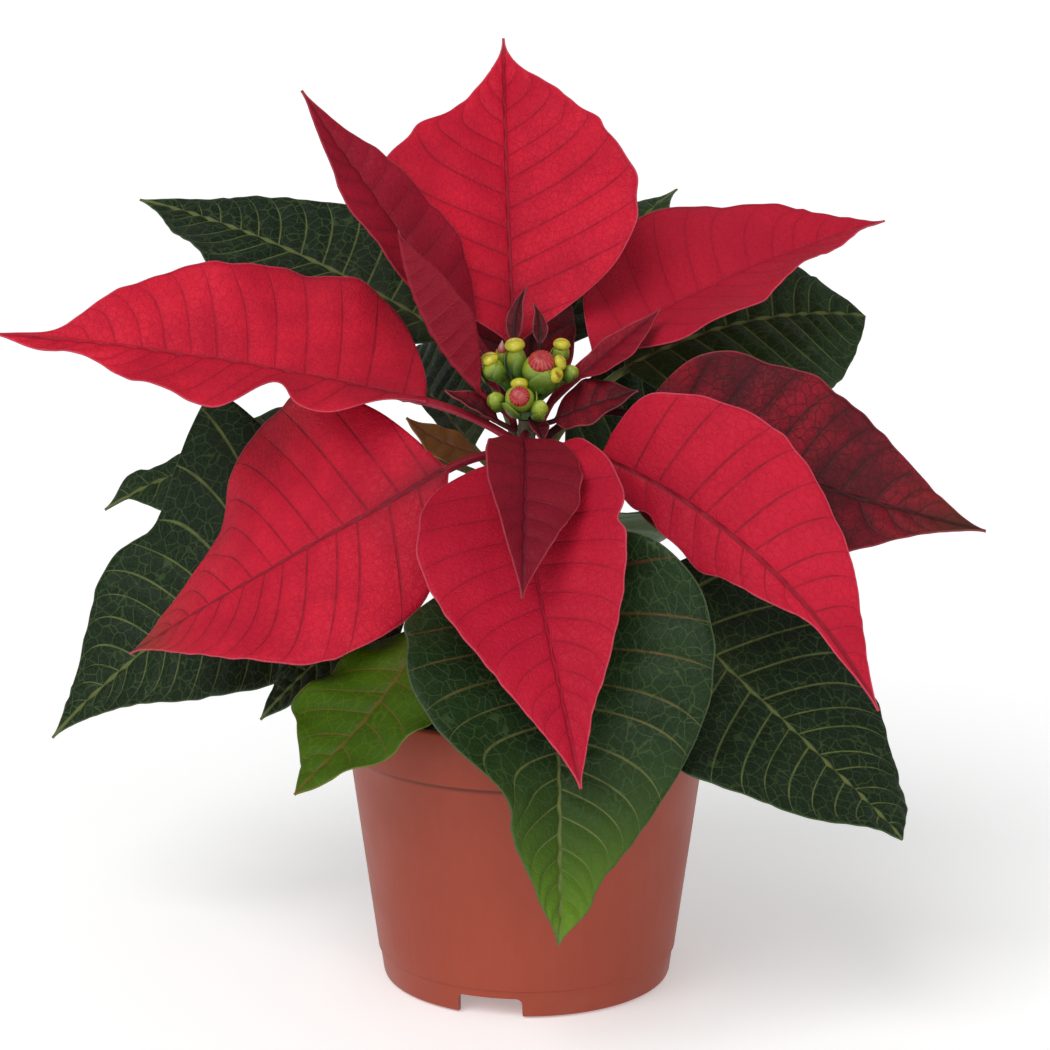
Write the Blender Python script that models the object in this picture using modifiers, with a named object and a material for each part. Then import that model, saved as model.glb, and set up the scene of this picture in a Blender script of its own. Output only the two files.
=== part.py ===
"""A potted miniature poinsettia: a plastic pot, its peat, one stem, green leaves, red bracts and flower cups.

Lengths are in millimetres and angles in degrees until they reach Blender, which gets metres.
The origin is on the pot's axis, on the surface it stands on. -Y is the side the flower faces.
"""

import math
import bmesh
import bpy
import numpy as np
from mathutils import Matrix, Vector, noise

MM = 0.001
GAP = 0.3

# Pot, a common 10.5 cm nursery pot
POT_HEIGHT = 82.0
POT_RIM_RADIUS = 52.5
POT_RIM_BAND = 15.0
POT_NECK_RADIUS = 49.7
POT_FOOT_RADIUS = 40.8
POT_WALL = 1.5
POT_SIDES = 48
LEDGE_HEIGHT = 7.5
LEDGE_STEP = 0.5
FLOOR_HEIGHT = 6.0
CENTRE_PAD_RADIUS = 12.0
NOTCH_WIDTH = 18.0
NOTCH_HEIGHT = 5.5
NOTCH_COUNT = 3
FIRST_NOTCH = -104.5
DRAIN_HOLE_RADIUS = 3.2
DRAIN_HOLE_CIRCLE = 25.0
DRAIN_HOLE_COUNT = 6

# Peat, filled to a little under the rim
SOIL_TOP = 72.0
SOIL_MOUND = 3.0
SOIL_LUMPS = 1.3
SOIL_SIDES = 36

# Stem, from its root end in the peat to the flower head
STEM_FOOT = 45.0
STEM_TOP = 157.0
STEM_RADIUS_LOW = 3.6
STEM_RADIUS_HIGH = 2.4
STEM_LEAN = 1.6

# Leaf blades
BLADE_THICKNESS = 0.7
STALK_RADIUS = 1.2
SMALL_STALK_RADIUS = 0.8
TIP_HALF_WIDTH = 0.4
ACROSS = 5
STALK_STEPS = 4
SMALL_BLADE = 60.0

RED = (0.62, 0.018, 0.035)
DARK_RED = (0.30, 0.010, 0.030)
MAROON = (0.14, 0.008, 0.018)
GREEN = (0.016, 0.045, 0.014)
YELLOW_GREEN = (0.10, 0.17, 0.012)
BROWN_GREEN = (0.13, 0.09, 0.02)
CUP_GREEN = (0.16, 0.25, 0.02)
GLAND_YELLOW = (0.70, 0.60, 0.03)
TUFT_RED = (0.45, 0.04, 0.05)
STEM_GREEN = (0.09, 0.10, 0.03)
TERRACOTTA = (0.323, 0.076, 0.048)
PEAT = (0.035, 0.022, 0.014)
OTHER_COLOURS = {
    "bract_top_left": DARK_RED,
    "bract_inner_left": DARK_RED,
    "bract_inner_folded": DARK_RED,
    "bract_inner_front": DARK_RED,
    "bract_right_dark": MAROON,
    "bract_back": MAROON,
    "leaf_yellow": YELLOW_GREEN,
    "leaf_turning": BROWN_GREEN,
}


def clear_scene():
    for obj in list(bpy.data.objects):
        bpy.data.objects.remove(obj, do_unlink=True)


def new_collection(name):
    collection = bpy.data.collections.new(name)
    bpy.context.scene.collection.children.link(collection)
    return collection


def finish_of(obj, colour, roughness):
    """Gives the object its own Principled material."""
    material = bpy.data.materials.new(obj.name)
    material.use_nodes = True
    shader = material.node_tree.nodes["Principled BSDF"]
    shader.inputs["Base Color"].default_value = (*colour, 1.0)
    shader.inputs["Roughness"].default_value = roughness
    shader.inputs["Metallic"].default_value = 0.0
    obj.data.materials.append(material)


def new_object(name, data, collection, colour, roughness):
    obj = bpy.data.objects.new(name, data)
    collection.objects.link(obj)
    finish_of(obj, colour, roughness)
    return obj


def metres(points):
    return [Vector(point) * MM for point in points]


def turned_object(name, profile, sides, collection, colour, roughness):
    """Turns a profile of (radius, height) pairs, given from the top down its outer side, about Z."""
    mesh = bpy.data.meshes.new(name)
    points = metres((radius, 0.0, height) for radius, height in profile)
    mesh.from_pydata(points, [(i, i + 1) for i in range(len(points) - 1)], [])
    obj = new_object(name, mesh, collection, colour, roughness)
    screw = obj.modifiers.new("turn", "SCREW")
    screw.axis = "Z"
    screw.steps = sides
    screw.render_steps = sides
    screw.use_merge_vertices = True
    screw.merge_threshold = 0.00001
    screw.use_smooth_shade = True
    return obj


def frozen(obj):
    """Replaces the object's mesh by what its modifiers make of it."""
    graph = bpy.context.evaluated_depsgraph_get()
    mesh = bpy.data.meshes.new_from_object(obj.evaluated_get(graph))
    obj.modifiers.clear()
    obj.data = mesh


def cut(obj, cutters):
    for cutter in cutters:
        boolean = obj.modifiers.new("cut", "BOOLEAN")
        boolean.operation = "DIFFERENCE"
        boolean.object = cutter


def notch_cutter(angle, cutters):
    """A slot through the foot ring, with round top corners."""
    bpy.ops.mesh.primitive_cube_add(size=1.0)
    slot = bpy.context.active_object
    slot.name = "foot_notch_cutter"
    depth = 3 * POT_WALL + 6.0
    slot.data.transform(Matrix.Diagonal((depth * MM, NOTCH_WIDTH * MM, 2 * NOTCH_HEIGHT * MM, 1.0)))
    bevel = slot.modifiers.new("round", "BEVEL")
    bevel.width = 1.6 * MM
    bevel.segments = 3
    turn = math.radians(angle)
    reach = (POT_FOOT_RADIUS - POT_WALL / 2) * MM
    slot.location = (reach * math.cos(turn), reach * math.sin(turn), 0.0)
    slot.rotation_euler = (0.0, 0.0, turn)
    return as_cutter(slot, cutters)


def as_cutter(obj, cutters):
    for collection in list(obj.users_collection):
        collection.objects.unlink(obj)
    cutters.objects.link(obj)
    obj.hide_render = True
    obj.display_type = "WIRE"
    return obj


def drain_cutter(angle, cutters):
    bpy.ops.mesh.primitive_cylinder_add(vertices=12, radius=DRAIN_HOLE_RADIUS * MM, depth=12 * MM)
    hole = bpy.context.active_object
    hole.name = "drain_hole_cutter"
    turn = math.radians(angle)
    reach = DRAIN_HOLE_CIRCLE * MM
    hole.location = (reach * math.cos(turn), reach * math.sin(turn), FLOOR_HEIGHT * MM)
    return as_cutter(hole, cutters)


def pot_profile():
    """Outer side from the rim down to the foot, under the floor, then back up the inside."""
    neck = POT_HEIGHT - POT_RIM_BAND
    foot = POT_FOOT_RADIUS
    wall = POT_WALL
    slope = (POT_NECK_RADIUS - foot) / neck

    def body(height):
        return foot + slope * height

    lip = 1.0
    outside = [
        (POT_RIM_RADIUS - lip, POT_HEIGHT),
        (POT_RIM_RADIUS - 0.3 * lip, POT_HEIGHT - 0.3 * lip),
        (POT_RIM_RADIUS, POT_HEIGHT - lip),
        (POT_RIM_RADIUS - 0.5, neck + 0.5),
        (POT_RIM_RADIUS - 0.9, neck),
        (body(neck) + 0.3, neck),
        (body(neck), neck - 0.3),
        (body(LEDGE_HEIGHT) + 0.05, LEDGE_HEIGHT + 0.5),
        (body(LEDGE_HEIGHT) - LEDGE_STEP, LEDGE_HEIGHT),
        (foot - LEDGE_STEP + 0.2, 1.9),
        (foot - LEDGE_STEP - 0.4, 0.6),
        (foot - LEDGE_STEP - 1.1, 0.0),
        (foot - LEDGE_STEP - 2.3, 0.0),
        (foot - LEDGE_STEP - 2.3, FLOOR_HEIGHT - wall),
        (CENTRE_PAD_RADIUS + 4.0, FLOOR_HEIGHT - wall),
        (CENTRE_PAD_RADIUS, 0.0),
        (0.0, 0.0),
    ]
    inside = [
        (0.0, FLOOR_HEIGHT - wall),
        (CENTRE_PAD_RADIUS + 2.0, FLOOR_HEIGHT - 0.5 * wall),
        (CENTRE_PAD_RADIUS + 5.0, FLOOR_HEIGHT),
        (body(FLOOR_HEIGHT) - LEDGE_STEP - wall - 1.5, FLOOR_HEIGHT),
        (body(FLOOR_HEIGHT) - LEDGE_STEP - wall, FLOOR_HEIGHT + 1.5),
        (body(neck) - wall, neck - 1.0),
        (POT_RIM_RADIUS - wall - 0.6, neck + 1.5),
        (POT_RIM_RADIUS - wall, POT_HEIGHT - 0.4),
        (POT_RIM_RADIUS - wall + 0.3, POT_HEIGHT),
    ]
    return outside + inside + outside[:1]


def make_pot(parts, cutters):
    pot = turned_object("pot", pot_profile(), POT_SIDES, parts, TERRACOTTA, 0.42)
    turns = [FIRST_NOTCH + 360.0 * i / NOTCH_COUNT for i in range(NOTCH_COUNT)]
    drains = [360.0 * i / DRAIN_HOLE_COUNT for i in range(DRAIN_HOLE_COUNT)]
    cut(pot, [notch_cutter(turn, cutters) for turn in turns])
    cut(pot, [drain_cutter(turn, cutters) for turn in drains])
    return pot


def soil_profile():
    """The peat fills the pot to a small mound and leaves a plain round hole for the stem."""
    neck = POT_HEIGHT - POT_RIM_BAND
    slope = (POT_NECK_RADIUS - POT_FOOT_RADIUS) / neck
    hole = STEM_RADIUS_LOW + GAP

    def inner(height):
        return POT_FOOT_RADIUS + slope * height - LEDGE_STEP - POT_WALL - GAP

    floor = FLOOR_HEIGHT + GAP
    fill = [
        (hole, SOIL_TOP + SOIL_MOUND),
        (hole + 5.0, SOIL_TOP + 0.95 * SOIL_MOUND),
        (hole + 11.0, SOIL_TOP + 0.8 * SOIL_MOUND),
        (hole + 18.0, SOIL_TOP + 0.6 * SOIL_MOUND),
        (hole + 25.0, SOIL_TOP + 0.4 * SOIL_MOUND),
        (hole + 32.0, SOIL_TOP + 0.2 * SOIL_MOUND),
        (inner(neck) - 5.0, SOIL_TOP),
        (inner(neck) + 0.2, SOIL_TOP - 1.0),
        (inner(neck) + 0.2, neck - 1.0),
        (inner(floor + 4.0), floor + 4.0),
        (inner(floor) - 2.0, floor),
        (CENTRE_PAD_RADIUS + 5.5, floor),
        (CENTRE_PAD_RADIUS + 1.0, floor),
        (0.0, floor),
    ]
    shaft = [(0.0, STEM_FOOT - GAP), (hole, STEM_FOOT - GAP), (hole, SOIL_TOP + SOIL_MOUND)]
    return fill + shaft


def make_soil(parts):
    soil = turned_object("soil", soil_profile(), SOIL_SIDES, parts, PEAT, 0.95)
    frozen(soil)
    edge = POT_NECK_RADIUS - 6.0
    for vertex in soil.data.vertices:
        point = vertex.co / MM
        reach = math.hypot(point.x, point.y)
        if point.z > SOIL_TOP - 0.5 and STEM_RADIUS_LOW + 1.0 < reach < edge:
            vertex.co.z += SOIL_LUMPS * MM * noise.noise(point / 6.0)
    return soil


def stem_centre(height):
    """The stem leans a little and wanders from joint to joint."""
    share = max(0.0, (height - SOIL_TOP - 8.0) / (STEM_TOP - SOIL_TOP - 8.0))
    bend = STEM_LEAN * math.sin(math.pi * share)
    return Vector((0.5 * bend * math.sin(7.0 * share), bend, height))


def stem_radius(height):
    share = (height - STEM_FOOT) / (STEM_TOP - STEM_FOOT)
    return STEM_RADIUS_LOW + (STEM_RADIUS_HIGH - STEM_RADIUS_LOW) * share


def make_stem(parts):
    curve = bpy.data.curves.new("stem", "CURVE")
    curve.dimensions = "3D"
    curve.bevel_depth = MM
    curve.bevel_resolution = 2
    curve.use_fill_caps = True
    spline = curve.splines.new("POLY")
    heights = np.linspace(STEM_FOOT, STEM_TOP, 16)
    spline.points.add(len(heights) - 1)
    for point, height in zip(spline.points, heights):
        point.co = (*(stem_centre(height) * MM), 1.0)
        point.radius = stem_radius(height)
    return new_object("stem", curve, parts, STEM_GREEN, 0.55)


def heading_vector(heading, slope):
    """Unit vector at a compass angle from +X and an angle above the horizontal."""
    turn = math.radians(heading)
    rise = math.radians(slope)
    return np.array((math.cos(rise) * math.cos(turn), math.cos(rise) * math.sin(turn), math.sin(rise)))


def between(ends, share):
    return ends[0] + (ends[1] - ends[0]) * share


def run_of(start, headings, slopes, length, steps):
    """Points along a rib whose heading and slope change evenly from one end to the other."""
    points = [start]
    for i in range(steps):
        share = (i + 0.5) / steps
        step = heading_vector(between(headings, share), between(slopes, share)) * length / steps
        points.append(points[-1] + step)
    return np.array(points)


def outline(share, swell, taper):
    """Half width of a blade as a share of its widest, from the stalk at 0 to the point at 1."""
    widest = swell / (swell + taper)
    return (share / widest) ** swell * ((1.0 - share) / (1.0 - widest)) ** taper


class Leaf:
    """A blade on its stalk: where it leaves the stem, how its rib runs, and how its halves stand."""

    def __init__(self, joint, heading, slope, stalk, blade, width, roll=(0, 0), fold=(10, 10),
                 curl=0.0, swell=0.8, taper=1.3, wave=1.5, waves=3.0, phase=0.0, shoulders=()):
        self.joint = joint
        self.heading = heading
        self.slope = slope
        self.stalk = stalk
        self.blade = blade
        self.width = width
        self.roll = roll
        self.fold = fold
        self.curl = curl
        self.swell = swell
        self.taper = taper
        self.wave = wave
        self.waves = waves
        self.phase = phase
        self.shoulders = shoulders
        self.thick = STALK_RADIUS if blade > SMALL_BLADE else SMALL_STALK_RADIUS
        self.steps = 16 if blade > SMALL_BLADE else 9

    def start(self):
        """The stalk's end, which stands off the stem by the gap that touching pieces keep."""
        centre = stem_centre(self.joint)
        tilt = abs(math.sin(math.radians(self.slope[0])))
        reach = stem_radius(self.joint) + GAP + self.thick * tilt
        turn = math.radians(self.heading[0])
        return np.array((centre.x + reach * math.cos(turn), centre.y + reach * math.sin(turn), centre.z))

    def stations(self):
        """(rib point, tangent, side, normal, share along the blade) for each ring, stalk first."""
        stalk = run_of(self.start(), self.heading[:2], self.slope[:2], self.stalk, STALK_STEPS)
        fine = 60
        rib = run_of(stalk[-1], self.heading[1:], self.slope[1:], self.blade, fine)
        found = []
        for i in range(STALK_STEPS):
            share = i / STALK_STEPS
            angles = between(self.heading[:2], share), between(self.slope[:2], share)
            found.append((stalk[i], *self.axes(angles, self.roll[0]), 0.0))
        for i in range(self.steps + 1):
            share = 1.0 - (1.0 - i / self.steps) ** 1.15
            place = np.array([np.interp(share * fine, np.arange(fine + 1), rib[:, k]) for k in range(3)])
            angles = between(self.heading[1:], share), between(self.slope[1:], share)
            found.append((place, *self.axes(angles, between(self.roll, share)), share))
        return found

    def axes(self, angles, roll):
        """Side and normal of the blade at a rib point. A positive roll tips the right side down."""
        along = heading_vector(*angles)
        turn = math.radians(angles[0])
        side = np.array((math.sin(turn), -math.cos(turn), 0.0))
        normal = np.cross(side, along)
        tilt = math.radians(roll)
        return (side * math.cos(tilt) - normal * math.sin(tilt),
                normal * math.cos(tilt) + side * math.sin(tilt))

    def half_width(self, share, hand):
        """Width of one half of the blade. Shoulders are (half, place, height, length) bumps."""
        if share in (0.0, 1.0):
            return 0.0
        width = self.width[hand] * outline(share, self.swell, self.taper)
        for half, place, height, length in self.shoulders:
            if half == hand:
                width += height * math.exp(-((share - place) / length) ** 2)
        return max(width, 0.0)

    def middle(self, station, across):
        """A point of the blade's middle surface, across from -1 on the left edge to 1 on the right."""
        place, side, normal, share = station
        hand = 0 if across < 0 else 1
        full = self.half_width(share, hand)
        end = self.thick + (TIP_HALF_WIDTH - self.thick) * share
        width = math.hypot(full, end)
        open_up = min(1.0, full / (3.0 * self.thick))
        fold = math.radians(self.fold[hand]) * open_up
        reach = width * abs(across)
        edge = self.phase + (0.31 if hand else 0.0)
        ripple = self.wave * across * across * math.sin(2 * math.pi * (self.waves * share + edge))
        lift = reach * math.sin(fold) + self.curl * reach * abs(across)
        lift += ripple * math.sqrt(full / max(self.width))
        return place + side * math.copysign(reach * math.cos(fold), across) + normal * lift

    def half_thickness(self, share, across):
        """Round in the stalk, and a thin blade with a rib past it."""
        thin = BLADE_THICKNESS / 2
        round_section = self.thick * math.cos(math.radians(72.0 * across))
        keep = max(0.0, 1.0 - share / 0.22) ** 2
        rib = 0.35 * (1.0 - share) * max(0.0, 1.0 - 2.0 * abs(across))
        return thin + (round_section - thin) * keep + rib * (1.0 - keep)

    def rings(self):
        places = np.linspace(-1.0, 1.0, ACROSS)
        stations = self.stations()
        grid = np.array([[self.middle(station, across) for across in places] for station in stations])
        along = np.gradient(grid, axis=0)
        over = np.gradient(grid, axis=1)
        normal = np.cross(over, along)
        normal /= np.linalg.norm(normal, axis=2, keepdims=True)
        shares = [station[3] for station in stations]
        half = np.array([[self.half_thickness(share, across) for across in places] for share in shares])
        lift = normal * half[:, :, None]
        return np.concatenate([grid + lift, (grid - lift)[:, ::-1]], axis=1)


def make_leaf(name, leaf, parts, colour, roughness=0.5):
    """Skins the leaf's rings, which go from a round stalk to a thin blade, with both faces split alike."""
    rings = leaf.rings()
    count = 2 * ACROSS
    body = bmesh.new()
    rows = [[body.verts.new(point * MM) for point in ring] for ring in rings]
    for near, far in zip(rows, rows[1:]):
        for i in range(count):
            j = (i + 1) % count
            if i < ACROSS:
                body.faces.new((near[i], near[j], far[j]))
                body.faces.new((near[i], far[j], far[i]))
            else:
                body.faces.new((near[i], near[j], far[i]))
                body.faces.new((near[j], far[j], far[i]))
    body.faces.new(rows[0][::-1])
    body.faces.new(rows[-1])
    bmesh.ops.recalc_face_normals(body, faces=body.faces[:])
    mesh = bpy.data.meshes.new(name)
    body.to_mesh(mesh)
    body.free()
    mesh.shade_smooth()
    return new_object(name, mesh, parts, colour, roughness)


# Flower cups on short stalks on top of the stem: middle of the cup, radius, height
HEAD_FOOT = (0.0, 0.0, STEM_TOP + GAP)
HEAD_RADIUS = 2.4
HEAD_HEIGHT = 4.5
CUP_STALK_RADIUS = 1.1
CUP_SIDES = 8
CUPS = {
    "upper_left": ((-2.8, 0.5, 173.2), 2.6, 9.4),
    "left": ((-9.2, -2.0, 171.2), 2.9, 7.0),
    "upper_mid": ((-6.8, 3.5, 173.6), 1.8, 6.0),
    "main": ((3.8, -4.5, 171.2), 4.9, 9.8),
    "upper_right": ((9.2, 1.5, 174.8), 2.2, 6.4),
    "front": ((-1.9, -8.4, 164.1), 3.9, 7.8),
    "lower_left": ((-8.2, -5.0, 163.2), 2.2, 5.0),
    "lower_right": ((3.4, -9.4, 161.6), 2.3, 5.4),
    "right": ((12.0, -3.0, 170.4), 2.0, 4.6),
}
# What sits on the cups: red tufts and yellow nectar glands, each by its cup, the way it points from
# the middle of the cup, how far out its own middle is, and its radii along and across that way
TUFTS = {
    "tuft_main": ("main", (0.05, -0.62, 0.78), 3.6, 2.6, 3.6),
    "tuft_front": ("front", (0.0, -0.92, 0.38), 3.2, 1.9, 2.8),
    "tuft_upper_mid": ("upper_mid", (-0.1, -0.3, 0.95), 2.8, 1.6, 1.5),
}
GLANDS = {
    "gland_upper_left": ("upper_left", (-0.1, -0.25, 0.97), 4.6, 1.7, 2.4),
    "gland_left": ("left", (-0.3, -0.3, 0.93), 3.3, 1.5, 2.2),
    "gland_upper_right": ("upper_right", (0.1, -0.25, 0.96), 2.9, 1.5, 2.0),
    "gland_main_upper": ("main", (0.88, -0.25, 0.42), 6.0, 1.4, 1.9),
    "gland_main_lower": ("main", (0.72, -0.68, -0.1), 5.8, 1.4, 1.9),
    "gland_front": ("front", (0.0, 0.2, 1.0), 4.2, 1.6, 2.1),
}


def turned_to(axis):
    return Vector((0.0, 0.0, 1.0)).rotation_difference(Vector(axis)).to_matrix().to_4x4()


def egg(name, middle, axis, long_radius, cross_radius, sides, rows):
    """A ball stretched along an axis, for cups, tufts and glands."""
    body = bmesh.new()
    bmesh.ops.create_uvsphere(body, u_segments=sides, v_segments=rows, radius=1.0)
    size = Matrix.Diagonal((cross_radius * MM, cross_radius * MM, long_radius * MM, 1.0))
    place = Matrix.Translation(Vector(middle) * MM) @ turned_to(axis) @ size
    bmesh.ops.transform(body, matrix=place, verts=body.verts[:])
    mesh = bpy.data.meshes.new(name)
    body.to_mesh(mesh)
    body.free()
    return mesh


def rod(name, start, end, radius_start, radius_end, sides):
    body = bmesh.new()
    span = Vector(end) - Vector(start)
    bmesh.ops.create_cone(body, cap_ends=True, segments=sides, radius1=radius_start * MM,
                          radius2=radius_end * MM, depth=span.length * MM)
    middle = (Vector(start) + Vector(end)) / 2 * MM
    bmesh.ops.transform(body, matrix=Matrix.Translation(middle) @ turned_to(span), verts=body.verts[:])
    mesh = bpy.data.meshes.new(name)
    body.to_mesh(mesh)
    body.free()
    return mesh


def cup_axis(middle):
    """A cup stands up from the end of its stalk and leans out with it."""
    return (Vector(middle) - Vector(HEAD_FOOT)).normalized() + Vector((0.0, -0.15, 0.9))


def make_cups(parts):
    """The green cups and their stalks grow together from the top of the stem."""
    foot = Vector(HEAD_FOOT)
    neck = foot + Vector((0.0, 0.0, HEAD_HEIGHT))
    root = foot + Vector((0.0, 0.0, 0.6 * HEAD_HEIGHT))
    receptacle = rod("receptacle", foot, neck, HEAD_RADIUS, HEAD_RADIUS * 0.8, 12)
    head = new_object("flower_cups", receptacle, parts, CUP_GREEN, 0.4)
    growing = new_collection("growing_cups")
    for name, (middle, radius, height) in CUPS.items():
        stalk = rod(name, root, middle, CUP_STALK_RADIUS, CUP_STALK_RADIUS, 6)
        cup = egg(name, middle, cup_axis(middle), height / 2, radius, CUP_SIDES, 6)
        for mesh in (stalk, cup):
            growing.objects.link(bpy.data.objects.new(name, mesh))
    union = head.modifiers.new("grow", "BOOLEAN")
    union.operation = "UNION"
    union.operand_type = "COLLECTION"
    union.collection = growing
    frozen(head)
    for obj in list(growing.objects):
        bpy.data.objects.remove(obj, do_unlink=True)
    bpy.data.collections.remove(growing)
    head.data.materials.clear()
    finish_of(head, CUP_GREEN, 0.4)
    head.data.shade_smooth()


def make_toppings(toppings, parts, cutters, colour, roughness):
    """Each tuft or gland is hollowed underneath to sit on its cup, the gap off it."""
    for name, (cup, way, reach, along, across) in toppings.items():
        middle, radius, height = CUPS[cup]
        way = Vector(way).normalized()
        body = egg(name, Vector(middle) + way * reach, way, along, across, 10, 6)
        topping = new_object(name, body, parts, colour, roughness)
        seat = egg("seat", middle, cup_axis(middle), height / 2 + GAP, radius + GAP, CUP_SIDES, 6)
        cut(topping, [as_cutter(bpy.data.objects.new(name + "_seat_cutter", seat), cutters)])
        frozen(topping)
        topping.data.materials.clear()
        finish_of(topping, colour, roughness)
        topping.data.shade_smooth()


def big_bracts():
    """The star of eight large bracts, and one more in shade behind it."""
    return {
        "bract_top": Leaf(156, (107, 95, 93), (57, 55, 68), 23, 93, (39, 39), roll=(0, -9), fold=(24, 25),
                          swell=1.05, taper=1.8, wave=1.0, waves=3.5,
                          shoulders=((0, 0.56, 5, 0.12), (0, 0.69, 3.5, 0.04), (1, 0.62, 5, 0.1),
                                     (1, 0.69, 2.5, 0.035), (1, 0.79, 6, 0.1), (1, 0.48, 2.5, 0.06))),
        "bract_top_left": Leaf(154, (150, 165, 150), (77, 52, 51), 29, 82, (15, 15), roll=(-16, -31),
                               fold=(16, 12), taper=1.45, wave=1.0),
        "bract_left": Leaf(151, (185, 171, 175), (36, 12, 3.5), 27, 122, (25, 36), roll=(-6, -44),
                           fold=(6, 21), swell=0.75, taper=1.4, wave=2.4, waves=3.7, phase=0.07,
                           shoulders=((0, 0.325, -13, 0.05), (0, 0.76, -5, 0.1), (0, 0.88, 2, 0.06),
                                      (1, 0.12, 8, 0.09), (1, 0.25, 2, 0.08), (1, 0.38, 2.5, 0.05),
                                      (1, 0.5, -1.8, 0.04), (1, 0.62, 3, 0.06), (1, 0.84, -5.5, 0.09))),
        "bract_lower_left": Leaf(148, (229, 182, 169), (15, -29, -33), 23, 103, (37, 48), roll=(-67, -18),
                                 fold=(3, 0), curl=-0.06, swell=0.9, taper=1.35, wave=2.0, phase=0.2,
                                 shoulders=((1, 0.08, 2.6, 0.06), (1, 0.48, 1.5, 0.08),
                                            (1, 0.67, -6, 0.045), (1, 0.78, 2, 0.04), (0, 0.7, 1.5, 0.05))),
        "bract_front": Leaf(149, (277, 266, 298), (0, -19, -66), 8, 106, (28, 31), roll=(17, 11),
                            fold=(20, 15), swell=0.6, wave=1.2,
                            shoulders=((0, 0.04, 1.8, 0.05), (1, 0.27, -2.2, 0.08), (0, 0.385, -2.5, 0.03),
                                       (0, 0.82, -1.2, 0.06))),
        "bract_lower_right": Leaf(147, (315, 319, 350), (25, -11, -62), 25, 104, (29, 11), roll=(67, 41),
                                  fold=(13, -10), swell=0.7, taper=1.5, wave=1.6, waves=3.3,
                                  shoulders=((0, 0.06, 3, 0.05), (0, 0.12, 1.2, 0.08), (1, 0.2, -2, 0.04),
                                             (1, 0.41, 2, 0.05), (1, 0.72, -3, 0.09))),
        "bract_right_dark": Leaf(150, (353, 331, 363), (53, -18, -13.5), 32, 98, (29, 29), roll=(60, 49),
                                 fold=(15, 7), swell=0.55, wave=1.4,
                                 shoulders=((0, 0.3, -2, 0.08), (0, 0.6, 1.5, 0.1), (1, 0.8, -2.5, 0.12))),
        "bract_upper_right": Leaf(154, (35, 30, 4), (64, 28, 15), 27, 93, (34, 31), roll=(20, 16),
                                  fold=(13, 18), swell=0.9, wave=1.6,
                                  shoulders=((0, 0.55, 1.8, 0.08), (0, 0.78, -1.2, 0.08),
                                             (1, 0.33, 3, 0.08), (1, 0.52, -1.5, 0.04))),
        "bract_back": Leaf(152, (88, 88, 86), (37, 35, 28), 12, 78, (23, 13), fold=(15, 15), swell=0.6,
                           wave=1.2),
    }


def small_bracts():
    """Half-grown bracts close round the flower cups."""
    return {
        "bract_inner_left": Leaf(157, (190, 196, 190), (38, 43, 84), 13, 50.5, (12.5, 7.5), roll=(0, 0),
                                 fold=(65, 66), swell=1.0, taper=1.2, wave=0.4),
        "bract_inner_folded": Leaf(157, (15, 14, 11), (50, 37, 40), 16, 29, (4, 13), roll=(25, 41),
                                   fold=(30, 29), swell=0.7, wave=0.4),
        "bract_inner_right": Leaf(156.2, (332, 343, 352), (-2, 25, 18), 6, 24.5, (10, 10), roll=(32, 31),
                                  wave=0.5),
        "bract_inner_front": Leaf(153.5, (262, 272, 267), (2, -2, -54), 11, 66, (14.8, 12), roll=(-5, -22),
                                  fold=(13, 20), swell=0.7, wave=0.8, shoulders=((0, 0.55, 1.5, 0.08),)),
        "bractlet_behind_left": Leaf(160, (125, 88, 35), (70, 78, 50), 18, 16, (2.5, 2.5), wave=0.2),
        "bractlet_behind_right": Leaf(160, (60, 80, 150), (65, 78, 60), 18, 11, (2.2, 2.2), wave=0.2),
        "bractlet_left": Leaf(154, (196, 190, 196), (25, 32, 32), 6, 17, (4, 4.5), roll=(-30, -40),
                              fold=(30, 30), wave=0.2),
        "bractlet_front": Leaf(157.5, (292, 300, 312), (0, -30, -60), 2, 6.5, (3.4, 3.4), fold=(25, 25),
                               wave=0.1),
    }


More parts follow.
